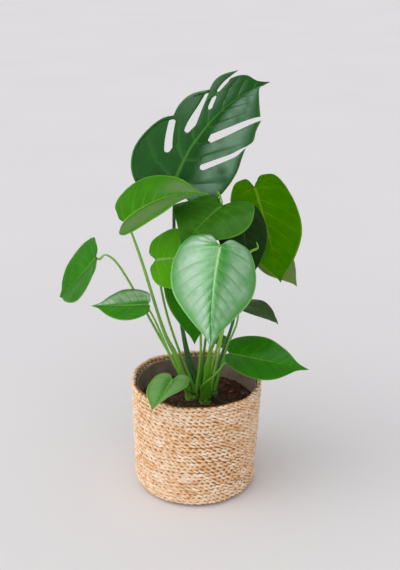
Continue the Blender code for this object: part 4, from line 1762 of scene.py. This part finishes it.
@dataclass
class Soil:
    """Damp potting mix, heaped a little round the stems, with crumbs, perlite and bark on top."""

    liner: Liner
    crowns: tuple
    rings: int = 46
    segments: int = 120

    def surface(self, x: float, y: float) -> float:
        """Height of the soil.

        Args:
            x: across.
            y: towards the back.

        Returns:
            The height in metres.
        """
        # Clods of three sizes: features in a metre, seed and height in millimetres.
        lump = heap = 0.0
        for scale, seed, height in ((60, 1.3, 1.7), (170, 7.1, 1.0), (420, 3.7, 0.5)):
            lump += noise.noise(Vector((x * scale, y * scale, seed))) * height
        for crown in self.crowns:
            away = (x - crown.place[0] * MM) ** 2 + (y - crown.place[1] * MM) ** 2
            heap += 2.2 * np.exp(-(away / (17 * MM) ** 2))
        return SOIL_LEVEL + (lump + heap - 0.6) * MM

    def build(self, finish: Material) -> Piece:
        """Builds the root ball.

        Args:
            finish: its material.

        Returns:
            The piece, riding on the pot.
        """
        pot = self.liner.basket
        foot = pot.wall + 1.5 * MM
        rim = self.liner.inner(SOIL_LEVEL) - 1.6 * MM
        sides = [(self.liner.inner(foot) - 3 * MM, foot), (rim * 0.995, SOIL_LEVEL - 12 * MM)]
        top = [(rim * ring / self.rings, None) for ring in range(self.rings, 0, -1)]
        vertices: list = [(0, 0, foot)]
        rings = [[0] * self.segments]
        for radius, height in (*sides, *top):
            rings.append(list(range(len(vertices), len(vertices) + self.segments)))
            for k in range(self.segments):
                x, y = radius * cos(tau * k / self.segments), radius * sin(tau * k / self.segments)
                vertices.append((x, y, self.surface(x, y) if height is None else height))
        rings.append([len(vertices)] * self.segments)
        vertices.append((0, 0, self.surface(0, 0)))
        moved = pot.lean_at(*(np.array(column, float) for column in zip(*vertices)))
        made = new_object("potting_soil", moved, skin_rings(rings), [finish])
        face_outwards(made)
        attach(made, "root")
        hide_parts("soil")
        return made

    def dress(self, bed: Piece, tree: Tree, name: str, values: dict) -> Piece:
        """Scatters crumbs over the bed.

        Args:
            bed: the soil.
            tree: the scatter tree.
            name: the piece's name.
            values: the tree's inputs.

        Returns:
            The piece, riding on the pot.
        """
        made = grow(link_object(f"bed_{name}", bed.data.copy()), tree, values, name)
        made.data.polygons.foreach_set("use_smooth", [False] * len(made.data.polygons))
        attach(made, "root")
        return made


@dataclass
class BarkChip:
    """A flake of pine bark lying on the soil."""

    name: str
    place: tuple[float, float]
    size: tuple[float, float]
    angle: float
    thickness: float = 2.5

    def build(self, soil: Soil, finish: Material) -> Piece:
        """Builds the flake.

        Args:
            soil: what it lies on.
            finish: its material.

        Returns:
            The piece, riding on the pot.
        """
        shaped = bmesh.new()
        bmesh.ops.create_cube(shaped, size=1)
        bmesh.ops.subdivide_edges(shaped, edges=shaped.edges, cuts=5, use_grid_fill=True)
        turn = radians(self.angle)
        across, back = self.place[0] * MM, self.place[1] * MM
        bed = soil.surface(across, back) + 1.3 * MM
        for vertex in shaped.verts:
            x, y, z = vertex.co
            taper = 1 - 0.35 * abs(2 * x) ** 2
            x, y = x * self.size[0] * MM, y * self.size[1] * MM * taper
            z *= self.thickness * MM * (0.8 + 0.4 * taper)
            z += 0.5 * MM * noise.noise(Vector((x * 500, y * 160, self.angle)))
            y += 0.8 * MM * noise.noise(Vector((x * 300, self.angle, z * 300)))
            z += (x / (self.size[0] * MM)) * 1.2 * MM
            along, aside = x * cos(turn) - y * sin(turn), x * sin(turn) + y * cos(turn)
            vertex.co = (across + along, back + aside, bed + z)
        mesh = bpy.data.meshes.new(self.name)
        bmesh.ops.recalc_face_normals(shaped, faces=shaped.faces)
        shaped.to_mesh(mesh)
        shaped.free()
        mesh.materials.append(finish)
        made = link_object(f"{self.name}_flake", mesh)
        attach(made, "root")
        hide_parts(self.name)
        return made


# ---------------------------------------------------------------- studio


@dataclass
class Studio:
    """A pale floor, soft lights and the camera."""

    distance: float = 1.35
    height: float = 0.84
    tilt: float = 21.4
    floor_reach: float = 9.0

    def floor(self) -> None:
        """Builds the pale floor."""
        made, tree = blank_material("floor_matte_paint")
        tone = blend(tree, speckle(tree, object_place(tree), 2.2), "#E4E2E3", "#EAE8E9")
        surface(tree, skin(tree, Base_Color=tone, Roughness=0.85, Specular_IOR_Level=0.0))
        far = self.floor_reach
        corners = [(-far, -far, 0), (far, -far, 0), (far, far * 2, 0), (-far, far * 2, 0)]
        floor = new_object("floor", corners, [(0, 1, 2, 3)], [made], False)

    def lamp(self, name: str, kind: str, way: Vector, power: float, colour: str) -> Piece:
        """Hangs one soft light.

        Args:
            name: the light's name.
            kind: its type.
            way: the direction it shines in.
            power: watts, or watts to a square metre for a sun.
            colour: sRGB hex.

        Returns:
            The light.
        """
        data = bpy.data.lights.new(name, kind)
        data.energy = power
        data.color = linear(colour)[:3]
        lamp = link_object(name, data)
        lamp.rotation_euler = way.to_track_quat("-Z", "Y").to_euler()
        return lamp

    def room(self) -> None:
        """Lights the room, which is brightest towards its window, in front and to the left."""
        world = bpy.data.worlds.new("studio")
        world.use_nodes = True
        tree = world.node_tree
        way = add(tree, "ShaderNodeTexCoord").outputs["Generated"]
        facing = vector(tree, "DOT_PRODUCT", way, (-0.58, -0.75, 0.32)).outputs["Value"]
        level = chain(tree, facing, ("MAXIMUM", 0.0), ("MULTIPLY", 1.08), ("ADD", 0.57))
        sky = tree.nodes["Background"]
        sky.inputs["Color"].default_value = linear("#F4F4F6")
        tree.links.new(level.outputs[0], sky.inputs["Strength"])
        bpy.context.scene.world = world

    def build(self) -> None:
        """Builds the floor, the lights and the camera."""
        self.floor()
        window = self.lamp("window_left", "SUN", Vector((1.0, 0.35, -0.8)), 0.42, "#FFF9F2")
        window.data.angle = radians(42)
        # The overhead softbox is seen by glossy surfaces only: it puts the sheen on waxy leaves.
        place = Vector((-0.25, -0.2, 2.2))
        sheen = self.lamp("ceiling_sheen", "AREA", Vector((0.0, -0.1, 0.35)) - place, 42, "#F2F7FF")
        sheen.location = place
        sheen.data.size = 1.3
        sheen.visible_diffuse = False
        self.room()
        bpy.context.scene.view_settings.view_transform = "Standard"
        data = bpy.data.cameras.new("camera")
        data.lens, data.sensor_width, data.clip_end = 65.1, 36, 50
        camera = link_object("camera", data)
        camera.location = (0.004, -self.distance, self.height)
        camera.rotation_euler = (radians(90 - self.tilt), 0, 0)
        bpy.context.scene.camera = camera


# ---------------------------------------------------------------- the plant

LEFT_CROWN = Crown("crown_left", (-8, 2), 6)
FRONT_CROWN = Crown("crown_front", (12, -12), 4)
RIGHT_CROWN = Crown("crown_right", (23, 10), 3)
BACK_CROWN = Crown("crown_back", (4, 31), 4)
CROWNS = (LEFT_CROWN, FRONT_CROWN, RIGHT_CROWN, BACK_CROWN)

# The pale sheen colours that some finishes below are given are painted reflections of the room's light, mixed
# into the leaf's colour.
MATURE = LeafFinish(
    "leaf_mature_waxy", face="#1E5C1C", deep="#154612", vein="#4A8434", painted_sheen="#8CB298", painted_sheen_share=0.62,
    painted_sheen_half=-1.0, glow="#2E7A08", glow_share=0.1, roughness=0.32, vein_count=7.0, shine=0.12, rib=0.024,
)
MID = LeafFinish(
    "leaf_mid_waxy", face="#388E07", deep="#287404", vein="#6EAA34", glow="#58AC06", glow_share=0.24,
    shine=0.1,
)
GLOSSY = LeafFinish(
    "leaf_mid_glossy", face="#429A0E", deep="#32840A", vein="#7ABA44", painted_sheen="#C6E6BE", painted_sheen_share=0.9,
    painted_sheen_half=-1.0, glow="#58AC06", glow_share=0.2, shine=0.14,
)
FRESH = LeafFinish(
    "leaf_fresh_satin", face="#4C9A10", deep="#3A840A", vein="#84C046", painted_sheen="#849468", painted_sheen_share=0.6,
    painted_sheen_from=0.32, painted_sheen_half=-1.0, glow="#78C40C", glow_share=0.34, shine=0.06,
)
YOUNG = LeafFinish(
    "leaf_young_thin", face="#7AD422", deep="#66C018", vein="#B0E880", glow="#A0EC28", glow_share=0.5,
    shine=0.05,
)
BACKLIT = LeafFinish(
    "leaf_backlit_thin", face="#529800", deep="#428400", vein="#98B430", glow="#8CC800", glow_share=0.45,
    shine=0.0,
)
SHADED = LeafFinish(
    "leaf_shaded_dark", face="#1E3E12", deep="#162E0C", vein="#3C5A24", glow="#1E4608", glow_share=0.06,
    shine=0.08,
)
DULL = LeafFinish(
    "leaf_dull_satin", face="#42602A", deep="#34501F", vein="#5E7E40", glow="#3C6A18", glow_share=0.1,
    shine=0.12,
)
SADDLE = LeafFinish(
    "leaf_saddle_satin", face="#3E7E12", deep="#2C640C", vein="#629A36", glow="#4A9A10", glow_share=0.18,
    shine=0.04,
)
# The pale milky sheen of this finish is a painted reflection of the overhead light, over a real glossy skin.
SHEEN_PAINTED = LeafFinish(
    "leaf_painted_sheen_waxy", face="#3E9E2C", deep="#2E8C20", vein="#95CF7A", painted_sheen="#C6E2CC", painted_sheen_share=0.52,
    glow="#5DB52E", glow_share=0.15, roughness=0.32, vein_count=9.0, shine=0.5,
)
GREYED = LeafFinish(
    "leaf_greyed_satin", face="#5CA034", deep="#4A8C2A", vein="#98C470", painted_sheen="#A8C890", painted_sheen_share=0.4,
    glow="#70B02C", glow_share=0.2, shine=0.12,
)
PALE = LeafFinish(
    "leaf_pale_thin", face="#8FA860", deep="#7C9650", vein="#B5C88A", glow="#B8D070", glow_share=0.4,
    roughness=0.5,
)
UNDERSIDE = LeafFinish(
    "leaf_underside_matte", face="#4C8434", deep="#3C7428", vein="#7CA854", glow="#62A820", glow_share=0.3,
    roughness=0.55, side=Side.UNDER,
)
STALK = StalkFinish("petiole_smooth")
DARK_STALK = StalkFinish("petiole_shaded", body="#2F5A3E", streak="#1F4530", sheath="#3F7A36")
BRIGHT_STALK = StalkFinish("petiole_bright", body="#86C03C", streak="#4E8C1E", sheath="#579818")
ROLLED = StalkFinish("rolled_leaf_young", body="#B9CC86", streak="#9DB966", sheath="#7DBB2E", roughness=0.4)


def plant() -> tuple:
    """Lists the leaves with their stalks.

    Returns:
        The petioles, each with its leaf.
    """
    return (
        Petiole(
            Leaf("split_top", (-31, 39, 323), Pose(32, 65, 52), Pose(2, -57, 2), -10, -8, 210, 76,
                 (SPLIT_LEFT, SPLIT_RIGHT), MATURE, slot="leaf_dark",
                 columns=26, lobe_rows=30, body_rows=84, pillow=0.45, ripple=0.0),
            BACK_CROWN, 180, ((-16, 36, 62), (-30, 40, 160), (-33, 46, 255)),
            girth=1.5, sheath=120, thick=1.6, finish=DARK_STALK,
        ),
        Petiole(
            Leaf("arched_left", (-98, -20, 281), Pose(-7, 46, 21), Pose(5, -54, 0), 22, -26, 128, 55,
                 (OVAL, OVAL), FRESH, slot="leaf_young"),
            LEFT_CROWN, 180, ((-32, -4, 74), (-48, -12, 117), (-76, -18, 222)),
            girth=1.6, sheath=150, thick=1.45, finish=STALK,
        ),
        Petiole(
            Leaf("hanging_left", (-140, -12, 226), Pose(151, -50, -41), Pose(-12, 7, -21), 18, -24, 104, 45,
                 (LONG, LONG), MID),
            LEFT_CROWN, 120, ((-32, 8, 54), (-50, 8, 89), (-102, -6, 201), (-124, -10, 229)),
            girth=1.3, sheath=70, finish=STALK,
        ),
        Petiole(
            Leaf("pointing_left", (-68, -40, 168), Pose(179, -5, -9), Pose(-12, 1, -30), 7, -6, 80, 34,
                 (OVAL, OVAL), GLOSSY),
            LEFT_CROWN, 240, ((-36, -20, 75), (-58, -34, 140)), girth=1.2, finish=STALK,
        ),
        Petiole(
            Leaf("small_left", (-57, -15, 224), Pose(-30, 17, 66), Pose(-23, -11, 37), -6, -18, 93, 43,
                 (BROAD, BROAD), YOUNG, slot="leaf_young"),
            LEFT_CROWN, 60, ((-37, 10, 108), (-51, 6, 173)), girth=1.2, finish=STALK,
        ),
        Petiole(
            Leaf("heart_front", (29, -92, 271), Pose(-102, -34, -15), Pose(12, -12, 13), -9, -24, 145, 60,
                 (BROAD, BROAD), SHEEN_PAINTED, pillow=1.3),
            FRONT_CROWN, 270, ((15, -30, 63), (19, -39, 103), (27, -66, 202)),
            girth=1.75, sheath=120, thick=1.35, finish=BRIGHT_STALK,
        ),
        Petiole(
            Leaf("under_front", (-7, 12, 211), Pose(-83, -70, -26), Pose(1, -15, 9), 6, -10, 119, 48,
                 (BROAD, BROAD), MID),
            LEFT_CROWN, 0, ((4, 3, 62), (5, 8, 98), (0, 26, 180)), finish=STALK,
        ),
        Petiole(
            Leaf("saddle_centre", (34, -7, 299), Pose(-126, -11, 2), Pose(-4, -23, -34), 15, -35, 96, 60,
                 (DEEP, DEEP), SADDLE, slot="leaf_dark"),
            BACK_CROWN, 270, ((18, 34, 140), (24, 42, 250), (27, 31, 304), (31, 11, 309)),
            Stance.ABOVE, finish=BRIGHT_STALK,
        ),
        Petiole(
            Leaf("tall_right", (82, 77, 301), Pose(-50, -63, -2), Pose(-22, 11, 1), 10, -6, 143, 60,
                 (LONG, LONG), BACKLIT, slot="leaf_young", pillow=1.0),
            RIGHT_CROWN, 90, ((39, 20, 72), (55, 38, 122), (72, 90, 218), (82, 97, 263)),
            girth=1.3, sheath=90, thick=1.4, finish=DARK_STALK,
        ),
        Petiole(
            Leaf("dark_behind", (60, 12, 283), Pose(-70, -60, -10), Pose(-4, -8, 8), 3, -20, 96, 40,
                 (BROAD, BROAD), SHADED, slot="leaf_dark"),
            FRONT_CROWN, 90, ((26, 0, 74), (36, 4, 110), (50, 8, 202)), finish=STALK,
        ),
        Petiole(
            Leaf("pale_behind", (99, 80, 216), Pose(-22, -43, 19), Pose(0, -14, 21), -5, -20, 80, 34,
                 (BROAD, BROAD), PALE, slot="leaf_young"),
            BACK_CROWN, 0, ((22, 34, 68), (46, 38, 112), (74, 68, 165)), finish=STALK,
        ),
        Petiole(
            Leaf("small_right", (58, 6, 147), Pose(-15, 12, -11), Pose(6, -68, 32), 6, -7, 67, 28,
                 (BROAD, BROAD), DULL, slot="leaf_dark"),
            RIGHT_CROWN, 330, ((42, 8, 77), (56, 4, 118)), finish=STALK,
        ),
        Petiole(
            Leaf("low_right", (46, -31, 89), Pose(-8, -9, 2), Pose(5, -2, 43), 13, -17, 114, 47,
                 (OVAL, OVAL), MID),
            FRONT_CROWN, 180, ((8, -30, 38), (24, -38, 58), (40, -36, 78)),
            girth=1.2, sheath=40, finish=BRIGHT_STALK,
        ),
        Petiole(
            Leaf("over_rim", (-34, -66, 26), Pose(-112, -14, 6), Pose(-4, -1, 22), 22, -36, 68, 31,
                 (BROAD, BROAD), GREYED, level=RIM_LEVEL),
            LEFT_CROWN, 300, ((-13, -26, 28), (-26, -52, 52)), sheath=30, finish=BRIGHT_STALK,
        ),
        Petiole(
            Leaf("low_behind", (28, 62, 71), Pose(-19, -21, -3), Pose(-7, -19, 5), 9, -14, 45, 19,
                 (BROAD, BROAD), FRESH, slot="leaf_young"),
            BACK_CROWN, 90, ((16, 54, 40),), sheath=30, finish=STALK,
        ),
    )


def main() -> None:
    """Builds the pot, the plant and the studio, and logs the face count of each blade."""
    logging.basicConfig(level=logging.INFO, format="%(message)s")
    under = UNDERSIDE.build()
    rope, stalk, scatter = rope_tree(), stalk_tree(), scatter_tree()
    basket = Basket()
    # The core's dark browns are painted shade of the gaps between the rows of cord.
    core = EarthFinish("jute_core_painted_shade", ("#7E5228", "#9A6A3A", "#B5844E"), 1.2)
    basket.build(rope, CordFinish("seagrass_twisted").build(), core.build())
    liner = Liner(basket)
    liner.build(PlasticFinish("liner_thermoformed").build())
    soil = Soil(liner, CROWNS)
    bed = soil.build(EarthFinish("potting_soil_damp", ("#20140D", "#422C20", "#684C3C"), 1.6).build())
    crumb = EarthFinish("soil_crumb_damp", ("#281911", "#4A3124", "#745644"), 0.9).build()
    perlite = EarthFinish("perlite_expanded", ("#A89C8C", "#CFC5B6", "#E9E2D6"), 0.6).build()
    bark = EarthFinish("pine_bark_weathered", ("#4A1F12", "#7E3A22", "#A5603C"), 1.1).build()
    for name, density, smallest, largest, seed, finish in (
        ("soil_crumbs", 55000.0, 0.6, 2.1, 4, crumb),
        ("soil_bark_bits", 2600.0, 1.2, 3.4, 9, bark),
        ("soil_perlite", 1500.0, 0.6, 1.6, 14, perlite),
    ):
        values = {"Density": density, "Smallest": smallest * MM, "Largest": largest * MM, "Seed": seed}
        soil.dress(bed, scatter, name, {**values, "Finish": finish})
    for chip in (
        BarkChip("bark_chip_right", (52, 24), (13, 6), 35),
        BarkChip("bark_chip_left", (-44, 30), (10, 6), 110),
        BarkChip("bark_chip_front", (24, -42), (9, 5), 160),
    ):
        chip.build(soil, bark)
    stem = EarthFinish("crown_corky", ("#3F6A1C", "#5C8F2A", "#7FB23E"), 2.5, 0.6).build()
    for crown in CROWNS:
        crown.build(stem)
    finishes: dict = {}
    for petiole in plant():
        leaf = petiole.leaf
        for finish in (leaf.finish, petiole.finish):
            if finish.name not in finishes:
                finishes[finish.name] = finish.build()
        blade = leaf.build(finishes[leaf.finish.name], under)
        petiole.build(stalk, finishes[petiole.finish.name])
        LOG.info("%s: %d faces", blade.name, len(blade.data.polygons))
    rolled = ((28, -16, 70), (48, -26, 184), (56, -30, 222), (71, -34, 242), (82, -36, 249), (80, -38, 258))
    Spear(FRONT_CROWN, rolled).build(ROLLED.build())
    Studio().build()
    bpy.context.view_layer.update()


if __name__ == "__main__":
    main()
